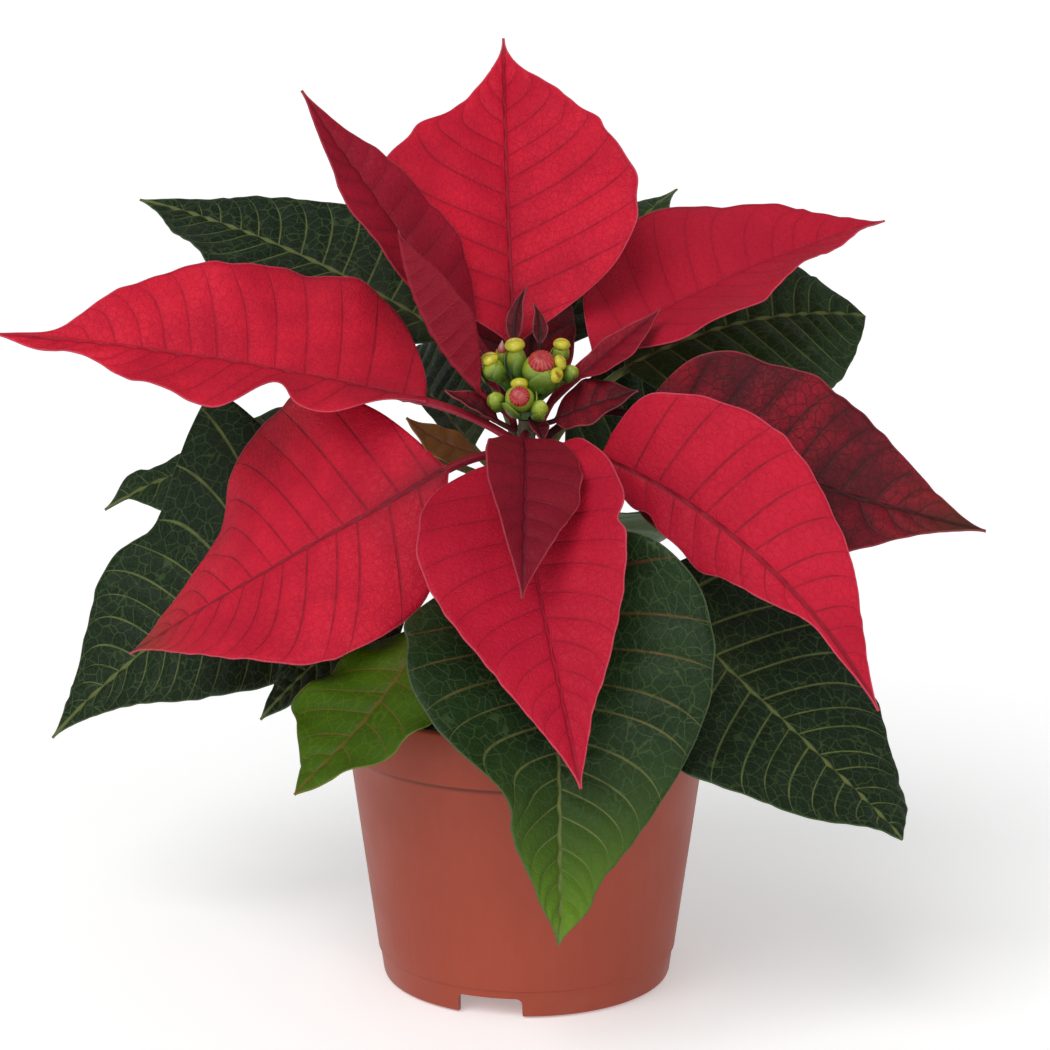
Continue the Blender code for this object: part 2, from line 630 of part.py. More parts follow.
def green_leaves():
    """The leaves below the bracts, and one still turning from green to red."""
    return {
        "leaf_turning": Leaf(146, (191, 188, 182), (4, 14, 43), 11, 22, (8, 5), roll=(-39, -38), wave=0.5),
        "leaf_upper_left": Leaf(139, (104, 144, 161), (66, 25, 11), 51, 110, (32, 26), roll=(-37, -34),
                                fold=(20, 4), swell=0.7,
                                shoulders=((0, 0.82, 3.5, 0.08), (0, 0.62, 2, 0.08),
                                           (1, 0.62, -2.5, 0.12))),
        "leaf_far_left": Leaf(135, (125, 147, 183), (12, 0, -31), 60, 89, (24, 14), roll=(-33, -40),
                              shoulders=((0, 0.76, 5, 0.07), (0, 0.92, -3.5, 0.05), (1, 0.65, -3, 0.1),
                                         (1, 0.88, 4, 0.06))),
        "leaf_left": Leaf(130, (167, 158, 183), (2, -24, -48), 54, 107, (36, 46), roll=(-64, -46),
                          fold=(9, 10), swell=0.55, taper=1.45,
                          shoulders=((1, 0.45, -9, 0.11), (1, 0.2, 10.5, 0.07))),
        "leaf_low_left": Leaf(120, (192, 190, 188), (-10, -30, -48), 30, 55, (17, 17), roll=(-30, -30)),
        "leaf_yellow": Leaf(126, (228, 233, 218), (-17, -41, -32), 41, 61, (21, 22), roll=(-1, -10),
                            fold=(10, 4), curl=-0.06, swell=0.9, taper=1.2, wave=1.6, waves=4.0,
                            shoulders=((1, 0.59, 6, 0.08), (1, 0.85, -1.2, 0.07))),
        "leaf_front": Leaf(131, (276, 280, 267), (15, -40, -68), 29, 107, (44, 41), roll=(32, -39),
                           fold=(17, 20), swell=0.55, wave=1.6,
                           shoulders=((1, 0.28, -3, 0.07), (1, 0.67, -7, 0.075), (1, 0.92, 2, 0.05),
                                      (0, 0.92, 3, 0.05))),
        "leaf_lower_right": Leaf(127, (321, 335, 321), (-2, -38, -34), 37, 98, (37, 40), roll=(34, 1),
                                 fold=(5, 8), curl=-0.06, taper=1.0,
                                 shoulders=((0, 0.06, 12, 0.07), (0, 0.74, -2.5, 0.08), (0, 0.92, 3, 0.05),
                                            (1, 0.64, 2, 0.08))),
        "leaf_upper_right": Leaf(140, (45, 26, 24), (59, 24, -9), 42, 79, (28, 34), roll=(31, 38),
                                 fold=(7, 3), curl=-0.05, swell=0.9, taper=0.9, wave=1.4,
                                 shoulders=((1, 0.07, 8, 0.08),)),
        "leaf_back_high": Leaf(143, (86, 68, 49), (42, 36, 22.5), 42, 83, (13, 20),
                               shoulders=((0, 0.55, 8, 0.18), (0, 0.84, 3.5, 0.1))),
        "leaf_back": Leaf(124, (82, 80, 80), (10, -15, -48), 34, 95, (32, 32)),
        "leaf_back_left": Leaf(139, (150, 112, 104), (25, 18, 0), 20, 84, (4, 24), roll=(-40, -50),
                               swell=0.6),
        "leaf_back_right": Leaf(137, (50, 45, 40), (15, 10, -12), 16, 96, (26, 12), roll=(40, 45)),
    }


def main():
    clear_scene()
    bpy.context.scene.unit_settings.system = "METRIC"
    parts = new_collection("potted_poinsettia")
    cutters = new_collection("cutters")
    cutters.hide_render = True
    make_pot(parts, cutters)
    make_soil(parts)
    make_stem(parts)
    make_cups(parts)
    make_toppings(TUFTS, parts, cutters, TUFT_RED, 0.45)
    make_toppings(GLANDS, parts, cutters, GLAND_YELLOW, 0.3)
    for name, leaf in big_bracts().items():
        make_leaf(name, leaf, parts, OTHER_COLOURS.get(name, RED))
    for name, leaf in small_bracts().items():
        make_leaf(name, leaf, parts, OTHER_COLOURS.get(name, MAROON))
    for name, leaf in green_leaves().items():
        make_leaf(name, leaf, parts, OTHER_COLOURS.get(name, GREEN))


main()
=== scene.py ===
import math
from dataclasses import dataclass

import bpy
import numpy as np
from mathutils import Matrix, Vector, noise


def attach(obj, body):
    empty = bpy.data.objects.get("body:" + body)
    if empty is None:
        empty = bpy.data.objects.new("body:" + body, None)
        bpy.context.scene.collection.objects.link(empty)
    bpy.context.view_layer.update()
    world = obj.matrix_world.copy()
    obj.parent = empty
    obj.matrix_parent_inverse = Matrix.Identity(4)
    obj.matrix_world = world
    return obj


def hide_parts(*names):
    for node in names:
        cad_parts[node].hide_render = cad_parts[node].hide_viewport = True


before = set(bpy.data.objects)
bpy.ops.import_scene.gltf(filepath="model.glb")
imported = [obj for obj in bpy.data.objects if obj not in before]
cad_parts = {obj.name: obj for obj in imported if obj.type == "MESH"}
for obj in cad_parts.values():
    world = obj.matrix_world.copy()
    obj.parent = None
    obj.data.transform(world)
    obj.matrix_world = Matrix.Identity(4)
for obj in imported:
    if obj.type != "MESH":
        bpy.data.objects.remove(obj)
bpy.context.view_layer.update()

# The view: a camera a little above the pot's rim, looking down at the star of bracts, over a pale
# floor in the soft light of large white panels
CAMERA_PLACE = (-0.00046, -0.8, 0.3)
CAMERA_TILT = math.radians(77.84)
CAMERA_LENS = 102.17
CAMERA_SENSOR = 36.0
SKY_STRENGTH = 0.38
WHITE = (1.0, 1.0, 1.0, 1.0)
PLANT_MIDDLE = Vector((0.0, 0.0, 0.13))
FLOOR_RADIUS = 14.0


def nothing_selected():
    """Operators act on all that is selected, so each piece starts from nothing selected."""
    if bpy.context.object and bpy.context.object.mode != "OBJECT":
        bpy.ops.object.mode_set(mode="OBJECT")
    bpy.ops.object.select_all(action="DESELECT")


def node(tree, kind, inputs=None, **settings):
    """A shader node with its settings, whose inputs are fed from values or from other nodes' sockets."""
    made = tree.nodes.new("ShaderNode" + kind)
    for name, value in settings.items():
        setattr(made, name, value)
    for key, value in (inputs or {}).items():
        if isinstance(value, bpy.types.NodeSocket):
            tree.links.new(value, made.inputs[key])
        else:
            made.inputs[key].default_value = value
    return made


def soft_light(name, place, spread, strength):
    """A wide, even light that shines from its place towards the plant."""
    nothing_selected()
    bpy.ops.object.light_add(type="SUN", location=place)
    light = bpy.context.object
    light.name = name
    light.data.angle = math.radians(spread)
    light.data.energy = strength
    light.rotation_euler = (PLANT_MIDDLE - Vector(place)).to_track_quat("-Z", "Y").to_euler()


nothing_selected()
bpy.ops.object.camera_add(location=CAMERA_PLACE, rotation=(CAMERA_TILT, 0.0, 0.0))
camera = bpy.context.object
camera.data.lens = CAMERA_LENS
camera.data.sensor_width = CAMERA_SENSOR
bpy.context.scene.camera = camera
bpy.context.scene.view_settings.view_transform = "Standard"

world = bpy.data.worlds.new("white_studio")
world.use_nodes = True
sky = world.node_tree
glow = sky.nodes["Background"]
glow.inputs["Color"].default_value = WHITE
glow.inputs["Strength"].default_value = SKY_STRENGTH
backdrop = node(sky, "Background", {"Color": WHITE, "Strength": 1.0}).outputs[0]
straight = node(sky, "LightPath").outputs["Is Camera Ray"]
seen = node(sky, "MixShader", {0: straight, 1: glow.outputs[0], 2: backdrop})
sky.links.new(seen.outputs[0], sky.nodes["World Output"].inputs["Surface"])
bpy.context.scene.world = world
soft_light("light_above_left", (-0.7, -1.1, 1.5), 45.0, 1.65)
soft_light("light_front_right", (0.6, -1.4, 0.4), 60.0, 0.85)

nothing_selected()
bpy.ops.mesh.primitive_circle_add(vertices=96, radius=FLOOR_RADIUS, fill_type="NGON",
                                  location=(0.0, 0.0, -0.0004))
floor = bpy.context.object
floor.name = "floor"
floor_paint = bpy.data.materials.new("floor_white")
floor_paint.use_nodes = True
floor_shader = floor_paint.node_tree.nodes["Principled BSDF"]
floor_look = {"Base Color": (0.95, 0.95, 0.95, 1.0), "Roughness": 0.7,
              "Emission Color": WHITE, "Emission Strength": 0.3}
for label, value in floor_look.items():
    floor_shader.inputs[label].default_value = value
floor.data.materials.append(floor_paint)


# Pot: thin terracotta-coloured plastic, moulded in one piece, with a thick rim band, a faint ledge
# above its foot, three slots in the foot ring and six drain holes round a flat middle
MM = 0.001
POT_HEIGHT = 82.0
POT_RIM_RADIUS = 52.5
POT_NECK = 67.0
POT_NECK_RADIUS = 49.7
POT_FOOT_RADIUS = 40.8
POT_WALL = 1.5
POT_SIDES = 160
POT_PAD_RADIUS = 12.0
LEDGE_HEIGHT = 7.5
LEDGE_STEP = 0.5
FLOOR_HEIGHT = 6.0
SLOT_WIDTH = 18.0
SLOT_HEIGHT = 5.5
SLOT_DEPTH = 10.5
SLOT_ROUNDING = 1.6
SLOT_TURNS = (-104.5, 15.5, 135.5)
DRAIN_RADIUS = 3.2
DRAIN_CIRCLE = 25.0
DRAINS = 6


def reckon(tree, operation, a, b):
    return node(tree, "Math", {0: a, 1: b}, operation=operation).outputs[0]


def times(tree, a, b):
    return reckon(tree, "MULTIPLY", a, b)


def fade(tree, value, start, end, low=0.0, high=1.0):
    """Goes smoothly from low, where the value is at start, to high, where it is at end."""
    ends = {"Value": value, "From Min": start, "From Max": end, "To Min": low, "To Max": high}
    return node(tree, "MapRange", ends, interpolation_type="SMOOTHSTEP").outputs["Result"]


def blend_of(tree, share, below, above, most=None):
    """One colour over another, as socket or RGB, by a share from 0 to 1, times the most that shows."""
    if most is not None:
        share = times(tree, share, most)
    colours = [(*c, 1.0) if isinstance(c, tuple) else c for c in (below, above)]
    mix = node(tree, "Mix", {0: share, 6: colours[0], 7: colours[1]}, data_type="RGBA")
    return mix.outputs[2]


def speckle(tree, place, scale, detail=3.0, rough=0.55):
    grain = {"Vector": place, "Scale": scale, "Detail": detail, "Roughness": rough}
    return node(tree, "TexNoise", grain).outputs["Fac"]


def new_group(name, inputs, outputs):
    """An empty shader node group, with its inputs and outputs given as name and kind of socket."""
    group = bpy.data.node_groups.new(name, "ShaderNodeTree")
    for label, kind in inputs:
        group.interface.new_socket(label, in_out="INPUT", socket_type="NodeSocket" + kind)
    for label, kind in outputs:
        group.interface.new_socket(label, in_out="OUTPUT", socket_type="NodeSocket" + kind)
    return group, group.nodes.new("NodeGroupInput"), group.nodes.new("NodeGroupOutput")


def new_material(name):
    """A material with its nodes and shader, and the place of each point on the object."""
    material = bpy.data.materials.new(name)
    material.use_nodes = True
    tree = material.node_tree
    return material, tree, tree.nodes["Principled BSDF"], node(tree, "TexCoord").outputs["Object"]


def coat(tree, shader, colour, rough, height, strength, depth):
    """Feeds the shader its colour and roughness and, through a bump, its fine relief."""
    tree.links.new(colour, shader.inputs["Base Color"])
    tree.links.new(rough, shader.inputs["Roughness"])
    relief = node(tree, "Bump", {"Height": height, "Strength": strength, "Distance": depth})
    tree.links.new(relief.outputs["Normal"], shader.inputs["Normal"])


def finish_mesh():
    """Points every face of the mesh in edit mode outwards, and goes back to object mode."""
    bpy.ops.mesh.select_all(action="SELECT")
    bpy.ops.mesh.normals_make_consistent(inside=False)
    bpy.ops.object.mode_set(mode="OBJECT")


def turned(name, profile, sides):
    """Extrudes a circle along the (radius, height) pairs of a profile, and closes both ends."""
    nothing_selected()
    radius, height = profile[0]
    bpy.ops.mesh.primitive_circle_add(vertices=sides, radius=radius * MM, location=(0.0, 0.0, height * MM))
    piece = bpy.context.object
    piece.name = name
    bpy.ops.object.transform_apply(location=True, rotation=False, scale=False)
    bpy.ops.object.mode_set(mode="EDIT")
    bpy.ops.mesh.select_all(action="SELECT")
    for (near, low), (far, high) in zip(profile, profile[1:]):
        rise = (0.0, 0.0, (high - low) * MM)
        bpy.ops.mesh.extrude_region_move(TRANSFORM_OT_translate={"value": rise})
        bpy.ops.transform.resize(value=(far / near, far / near, 1.0), center_override=(0.0, 0.0, high * MM))
    bpy.ops.mesh.select_all(action="SELECT")
    bpy.ops.mesh.fill_holes(sides=0)
    finish_mesh()
    return piece


def apply_modifiers(piece):
    nothing_selected()
    piece.select_set(True)
    bpy.context.view_layer.objects.active = piece
    for modifier in list(piece.modifiers):
        bpy.ops.object.modifier_apply(modifier=modifier.name)


def cut_away(piece, cutter):
    """Cuts a helper's shape out of the piece, and removes the helper."""
    boolean = piece.modifiers.new("cut", "BOOLEAN")
    boolean.operation = "DIFFERENCE"
    boolean.object = cutter
    apply_modifiers(piece)
    bpy.data.objects.remove(cutter, do_unlink=True)


def pot_body_radius(height):
    return POT_FOOT_RADIUS + (POT_NECK_RADIUS - POT_FOOT_RADIUS) * height / POT_NECK


def pot_profile():
    """From the middle of the underside out to the foot, up the outside, over the rim and down inside."""
    foot = POT_FOOT_RADIUS - LEDGE_STEP
    under = FLOOR_HEIGHT - POT_WALL
    inner = pot_body_radius(FLOOR_HEIGHT) - LEDGE_STEP - POT_WALL
    body_top = pot_body_radius(POT_NECK)
    ledge = pot_body_radius(LEDGE_HEIGHT)
    rim = POT_RIM_RADIUS
    underside = [
        (POT_PAD_RADIUS, 0.0), (POT_PAD_RADIUS + 4.0, under), (foot - 2.3, under), (foot - 2.3, 0.0),
        (foot - 0.9, 0.0), (foot - 0.2, 0.25), (foot + 0.1, 1.0),
    ]
    body = [
        (ledge - LEDGE_STEP, LEDGE_HEIGHT), (ledge, LEDGE_HEIGHT + 0.45), (pot_body_radius(35.0), 35.0),
        (body_top - 0.05, POT_NECK - 0.5), (body_top + 0.15, POT_NECK - 0.1), (body_top + 0.5, POT_NECK),
    ]
    band = [
        (rim - 1.2, POT_NECK), (rim - 0.85, POT_NECK + 0.2), (rim - 0.7, POT_NECK + 0.6),
        (rim, POT_HEIGHT - 1.1), (rim - 0.15, POT_HEIGHT - 0.5), (rim - 0.5, POT_HEIGHT - 0.12),
        (rim - 0.9, POT_HEIGHT), (rim - 1.25, POT_HEIGHT - 0.1), (rim - POT_WALL, POT_HEIGHT - 0.5),
        (rim - POT_WALL - 0.6, POT_NECK + 1.5),
    ]
    inside = [
        (body_top - POT_WALL, POT_NECK - 1.0), (inner, FLOOR_HEIGHT + 1.5), (inner - 1.5, FLOOR_HEIGHT),
        (POT_PAD_RADIUS + 5.0, FLOOR_HEIGHT), (POT_PAD_RADIUS + 2.0, FLOOR_HEIGHT - 0.5 * POT_WALL),
        (2.0, under),
    ]
    return underside + body + band + inside


pot = turned("pot_moulded", pot_profile(), POT_SIDES)
for turn in SLOT_TURNS:
    nothing_selected()
    angle = math.radians(turn)
    reach = (POT_FOOT_RADIUS - POT_WALL / 2) * MM
    place = (reach * math.cos(angle), reach * math.sin(angle), 0.0)
    sides = (SLOT_DEPTH * MM, SLOT_WIDTH * MM, 2 * SLOT_HEIGHT * MM)
    bpy.ops.mesh.primitive_cube_add(size=1.0, location=place, rotation=(0.0, 0.0, angle), scale=sides)
    slot_cutter = bpy.context.object
    bpy.ops.object.transform_apply(location=False, rotation=False, scale=True)
    rounding = slot_cutter.modifiers.new("round", "BEVEL")
    rounding.width = SLOT_ROUNDING * MM
    rounding.segments = 4
    apply_modifiers(slot_cutter)
    cut_away(pot, slot_cutter)
for drain in range(DRAINS):
    nothing_selected()
    angle = math.radians(360.0 / DRAINS * drain)
    place = (DRAIN_CIRCLE * MM * math.cos(angle), DRAIN_CIRCLE * MM * math.sin(angle), FLOOR_HEIGHT * MM)
    bpy.ops.mesh.primitive_cylinder_add(vertices=32, radius=DRAIN_RADIUS * MM, depth=2 * FLOOR_HEIGHT * MM,
                                        location=place)
    cut_away(pot, bpy.context.object)
nothing_selected()
pot.select_set(True)
bpy.context.view_layer.objects.active = pot
bpy.ops.object.shade_smooth_by_angle(angle=math.radians(35.0))

POT_PLASTIC, tree, shader, place = new_material("pot_plastic")
height_mm = times(tree, node(tree, "SeparateXYZ", {0: place}).outputs["Z"], 1000.0)
cloud = fade(tree, speckle(tree, place, 45.0, 5.0), 0.3, 0.7)
grain = speckle(tree, place, 1600.0, 2.0)
flow = node(tree, "Mapping", {"Vector": place, "Scale": (90.0, 90.0, 9.0)}).outputs[0]
streak = fade(tree, speckle(tree, flow, 6.0, 3.0), 0.35, 0.75)
colour = blend_of(tree, cloud, (0.315, 0.052, 0.026), (0.265, 0.044, 0.024), 0.35)
colour = blend_of(tree, streak, colour, (0.36, 0.080, 0.050), 0.12)
dust = fade(tree, speckle(tree, place, 130.0, 5.0), 0.4, 0.7)
dust = times(tree, fade(tree, height_mm, 9.0, 0.0), dust)
colour = blend_of(tree, dust, colour, (0.24, 0.11, 0.08), 0.25)
# Painted shade: a dark band on the body just under the rim band, where the rim's shadow falls
corner = fade(tree, height_mm, POT_NECK - 1.9, POT_NECK - 0.6)
corner = times(tree, corner, fade(tree, height_mm, POT_NECK + 0.5, POT_NECK + 0.1))
colour = blend_of(tree, corner, colour, (0.10, 0.018, 0.012), 0.75)
shader.inputs["Specular IOR Level"].default_value = 0.25
coat(tree, shader, colour, fade(tree, cloud, 0.0, 1.0, 0.40, 0.48), grain, 0.12, 0.0003)
pot.data.materials.append(POT_PLASTIC)
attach(pot, "root")
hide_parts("pot")


# Peat: a dark crumbly mix that fills the pot to a little under the rim. It is heaped slightly round
# the stem, with loose crumbs and short fibres lying on it
PEAT_TOP = 72.0
PEAT_MOUND = 3.0
MOUND_REACH = 41.0
PEAT_LUMPS = 1.3
PEAT_GRAIN = 0.7
PEAT_EDGE = 47.5
PEAT_HOLE = 3.8
PEAT_GAP = 0.3
PEAT_SIDES = 140
PEAT_RINGS = 44
CRUMB_REACH = 44.0
CRUMBS = 420
FIBRES = 46


def peat_surface(x, y):
    """Height of the peat at a point, in mm: the mound, its lumps and the crumbly grain."""
    reach = math.hypot(x, y)
    mound = PEAT_MOUND * max(0.0, 1.0 - (reach - PEAT_HOLE) / MOUND_REACH)
    lumps = PEAT_LUMPS * noise.noise(Vector((x, y, 0.0)) / 6.0)
    grain = PEAT_GRAIN * noise.turbulence(Vector((x, y, 7.0)) / 2.2, 3, False)
    settled = min(1.0, max(0.0, (PEAT_EDGE - reach) / 4.0)) * min(1.0, max(0.0, (reach - PEAT_HOLE) / 2.0))
    return PEAT_TOP + mound + (lumps + grain) * settled - (1.0 - settled) * (reach > 20.0)


def peat_profile():
    inner = pot_body_radius(POT_NECK) - LEDGE_STEP - POT_WALL - PEAT_GAP + 0.2
    low = FLOOR_HEIGHT + PEAT_GAP
    foot = pot_body_radius(low) - LEDGE_STEP - POT_WALL - PEAT_GAP
    rings = [(radius, PEAT_TOP) for radius in np.linspace(PEAT_HOLE + 0.2, inner, PEAT_RINGS)]
    shaft = [(0.6, 44.7), (PEAT_HOLE + 0.1, 44.7), (PEAT_HOLE + 0.1, PEAT_TOP - 1.0)]
    side = [(inner, POT_NECK - 1.0), (foot, low + 3.0), (foot - 2.0, low)]
    side += [(POT_PAD_RADIUS + 5.5, low), (1.0, low)]
    return shaft + rings + side


peat = turned("peat_fill", peat_profile(), PEAT_SIDES)
for vertex in peat.data.vertices:
    x, y, z = vertex.co / MM
    if z > PEAT_TOP - 0.5:
        vertex.co.z = peat_surface(x, y) * MM
draw = np.random.default_rng(11)
crumbs = []
for i in range(CRUMBS + FIBRES):
    reach = CRUMB_REACH * math.sqrt(draw.uniform(0.02, 1.0))
    turn = draw.uniform(0.0, 2 * math.pi)
    x, y = reach * math.cos(turn), reach * math.sin(turn)
    nothing_selected()
    place = (x * MM, y * MM, peat_surface(x, y) * MM)
    spin = tuple(draw.uniform(0.0, 6.28, 3))
    if i < CRUMBS:
        bpy.ops.mesh.primitive_ico_sphere_add(subdivisions=1, radius=1.0, location=place, rotation=spin)
        size = draw.uniform(0.35, 1.25) * MM
        bpy.context.object.scale = tuple(size * draw.uniform(0.6, 1.2, 3))
    else:
        flat = (1.45 + 0.12 * draw.normal(), 0.0, spin[2])
        bpy.ops.mesh.primitive_cylinder_add(vertices=5, radius=0.11 * MM, depth=draw.uniform(4, 11) * MM,
                                            location=place, rotation=flat)
    crumbs.append(bpy.context.object)
nothing_selected()
for crumb in crumbs:
    crumb.select_set(True)
peat.select_set(True)
bpy.context.view_layer.objects.active = peat
bpy.ops.object.join()
bpy.ops.object.shade_smooth_by_angle(angle=math.radians(50.0))

PEAT, tree, shader, place = new_material("peat")
coarse = fade(tree, speckle(tree, place, 500.0, 6.0, 0.7), 0.35, 0.65)
fine = speckle(tree, place, 2600.0, 3.0)
colour = blend_of(tree, coarse, (0.016, 0.010, 0.006), (0.075, 0.042, 0.024))
flecks = fade(tree, speckle(tree, place, 1500.0, 1.0), 0.66, 0.70)
colour = blend_of(tree, flecks, colour, (0.15, 0.10, 0.06))
crumbly = reckon(tree, "ADD", coarse, fine)
coat(tree, shader, colour, fade(tree, coarse, 0.0, 1.0, 0.82, 0.97), crumbly, 0.8, 0.0008)
peat.data.materials.append(PEAT)
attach(peat, "root")
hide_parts("soil")


# Stem: one green shoot that stands in the peat and carries every leaf and bract. Its bark is smooth,
# brown at the foot and reddish green higher up, a little swollen at each joint, with old leaf scars
STEM_FOOT = 45.0
STEM_TOP = 157.0
STEM_RADIUS_LOW = 3.6
STEM_RADIUS_HIGH = 2.4
STEM_LEAN = 1.6
STEM_GAP = 0.3
STEM_SIDES = 32
STEM_STEP = 0.7
BARK_GRAIN = 0.12
STEM_JOINTS = (84.0, 95.0, 107.0, 120.0, 124.0, 130.0, 135.0, 140.0, 146.0, 150.0, 154.0)


def stem_centre(height):
    """The stem leans a little and wanders from joint to joint."""
    share = np.maximum(0.0, (height - PEAT_TOP - 8.0) / (STEM_TOP - PEAT_TOP - 8.0))
    bend = STEM_LEAN * np.sin(np.pi * share)
    return np.array((0.5 * bend * np.sin(7.0 * share), bend, height))


def stem_radius(height):
    share = (height - STEM_FOOT) / (STEM_TOP - STEM_FOOT)
    return STEM_RADIUS_LOW + (STEM_RADIUS_HIGH - STEM_RADIUS_LOW) * share


def bark_radius(height):
    """The stem's radius with its swollen joints, and a slight groove above each."""
    swell = sum(0.42 * math.exp(-(((height - joint) / 1.1) ** 2)) for joint in STEM_JOINTS)
    groove = sum(0.16 * math.exp(-(((height - joint - 2.2) / 0.7) ** 2)) for joint in STEM_JOINTS)
    return stem_radius(height) + swell - groove


nothing_selected()
bpy.ops.mesh.primitive_circle_add(vertices=STEM_SIDES, radius=bark_radius(STEM_FOOT) * MM, fill_type="NGON",
                                  location=(0.0, 0.0, STEM_FOOT * MM))
stem = bpy.context.object
stem.name = "stem_bark"
bpy.ops.object.transform_apply(location=True, rotation=False, scale=False)
bpy.ops.object.mode_set(mode="EDIT")
bpy.ops.mesh.select_all(action="SELECT")
heights = np.arange(STEM_FOOT, STEM_TOP + 0.01, STEM_STEP)
for low, high in zip(heights, heights[1:]):
    near, far = stem_centre(low) * MM, stem_centre(high) * MM
    grow = bark_radius(high) / bark_radius(low)
    bpy.ops.mesh.extrude_region_move(TRANSFORM_OT_translate={"value": tuple(far - near)})
    bpy.ops.transform.resize(value=(grow, grow, 1.0), center_override=tuple(far))
finish_mesh()
bpy.ops.object.shade_smooth_by_angle(angle=math.radians(40.0))
for vertex in stem.data.vertices:
    away = Vector((vertex.co.x, vertex.co.y, 0.0)).normalized()
    grain = noise.noise(Vector((vertex.co.x * 500, vertex.co.y * 500, vertex.co.z * 120)))
    vertex.co += away * BARK_GRAIN * MM * grain

STEM_BARK, tree, shader, place = new_material("stem_bark")
height_mm = times(tree, node(tree, "SeparateXYZ", {0: place}).outputs["Z"], 1000.0)
along = node(tree, "Mapping", {"Vector": place, "Scale": (1.0, 1.0, 0.16)}).outputs[0]
fibres = speckle(tree, along, 1400.0, 4.0)
green = blend_of(tree, fade(tree, height_mm, 118.0, 150.0), (0.10, 0.105, 0.030), (0.075, 0.055, 0.022))
colour = blend_of(tree, fade(tree, height_mm, 112.0, 84.0), green, (0.115, 0.075, 0.040))
colour = blend_of(tree, fade(tree, fibres, 0.35, 0.7), colour, (0.16, 0.13, 0.07), 0.45)
pores = fade(tree, speckle(tree, along, 900.0, 1.0), 0.68, 0.74)
colour = blend_of(tree, pores, colour, (0.24, 0.20, 0.13))
coat(tree, shader, colour, fade(tree, fibres, 0.2, 0.8, 0.42, 0.62), fibres, 0.35, 0.0004)
stem.data.materials.append(STEM_BARK)
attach(stem, "root")
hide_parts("stem")


# Leaves and bracts: each is one thin blade on a round stalk, which runs on under the blade as its
# rib. The blade is soft tissue quilted between sunken side veins. It grows from a joint of the stem.
BIG_BLADE = 60.0
BIG_STALK = 1.2
SMALL_STALK = 0.8
TIP_HALF_WIDTH = 0.4
STALK_ROWS = 12
RIB_STEPS = 60
ROWS_PER_VEIN = 12
ROWS_PER_SMALL_VEIN = 8
VEIN_SPACING = 7.5
SMALL_VEIN_SPACING = 5.0
RIGHT_VEIN_SHIFT = 5 / 12
CROWDING = 0.35
RUFFLE_WIDTH = 16.0
COLUMNS = 45
SMALL_COLUMNS = 29
WARM_RIB = (0.10, 0.028, 0.014)


def leaf_pattern():
    """Masks of the veins, of the fine net between them and of the margin.

    Distances holds how far a point is, in mm, from the nearest side vein, from the rib and from the
    margin. Flat is the blade laid flat, in cm."""
    sizes = [(label, "Float") for label in ("Rib", "Vein", "Net")]
    masks = [(label, "Float") for label in ("Ribs", "Net", "Margin", "Beside", "Height")]
    places = [("Distances", "Vector"), ("Flat", "Vector")]
    group, given, result = new_group("leaf_pattern", places + sizes, masks)
    flat = given.outputs["Flat"]
    away = node(group, "SeparateXYZ", {0: given.outputs["Distances"]}).outputs
    thin = fade(group, away["Z"], 0.5, 11.0, 0.35, 1.0)
    reach = times(group, given.outputs["Vein"], thin)
    side = fade(group, reckon(group, "DIVIDE", away["X"], reach), 1.0, 0.25)
    broken = fade(group, speckle(group, flat, 2.2, 3.0), 0.3, 0.6, 0.55, 1.0)
    side = times(group, side, broken)
    rib = fade(group, reckon(group, "DIVIDE", away["Y"], given.outputs["Rib"]), 1.0, 0.35)
    ribs = reckon(group, "MAXIMUM", side, rib)
    bent = node(group, "TexNoise", {"Vector": flat, "Scale": 2.5, "Detail": 2.0}).outputs["Color"]
    bent = node(group, "VectorMath", {0: bent, 3: 0.22}, operation="SCALE").outputs[0]
    bent = node(group, "VectorMath", {0: flat, 1: bent}, operation="ADD").outputs[0]
    cells = {"Vector": bent, "Scale": given.outputs["Net"], "Randomness": 1.0}
    coarse = node(group, "TexVoronoi", cells, feature="DISTANCE_TO_EDGE").outputs["Distance"]
    cells["Scale"] = times(group, given.outputs["Net"], 2.7)
    fine = node(group, "TexVoronoi", cells, feature="DISTANCE_TO_EDGE").outputs["Distance"]
    net = fade(group, fine, 0.07, 0.01, 0.0, 0.4)
    net = reckon(group, "MAXIMUM", fade(group, coarse, 0.055, 0.01), net)
    margin = fade(group, away["Z"], 0.55, 0.12)
    beside = reckon(group, "MAXIMUM", fade(group, away["X"], 2.4, 0.0), fade(group, away["Y"], 5.0, 0.3))
    grooves = reckon(group, "MAXIMUM", ribs, times(group, net, 0.5))
    height = times(group, grooves, -1.0)
    for (label, _), socket in zip(masks, (ribs, net, margin, beside, height)):
        group.links.new(socket, result.inputs[label])
    return group


PATTERN = leaf_pattern()


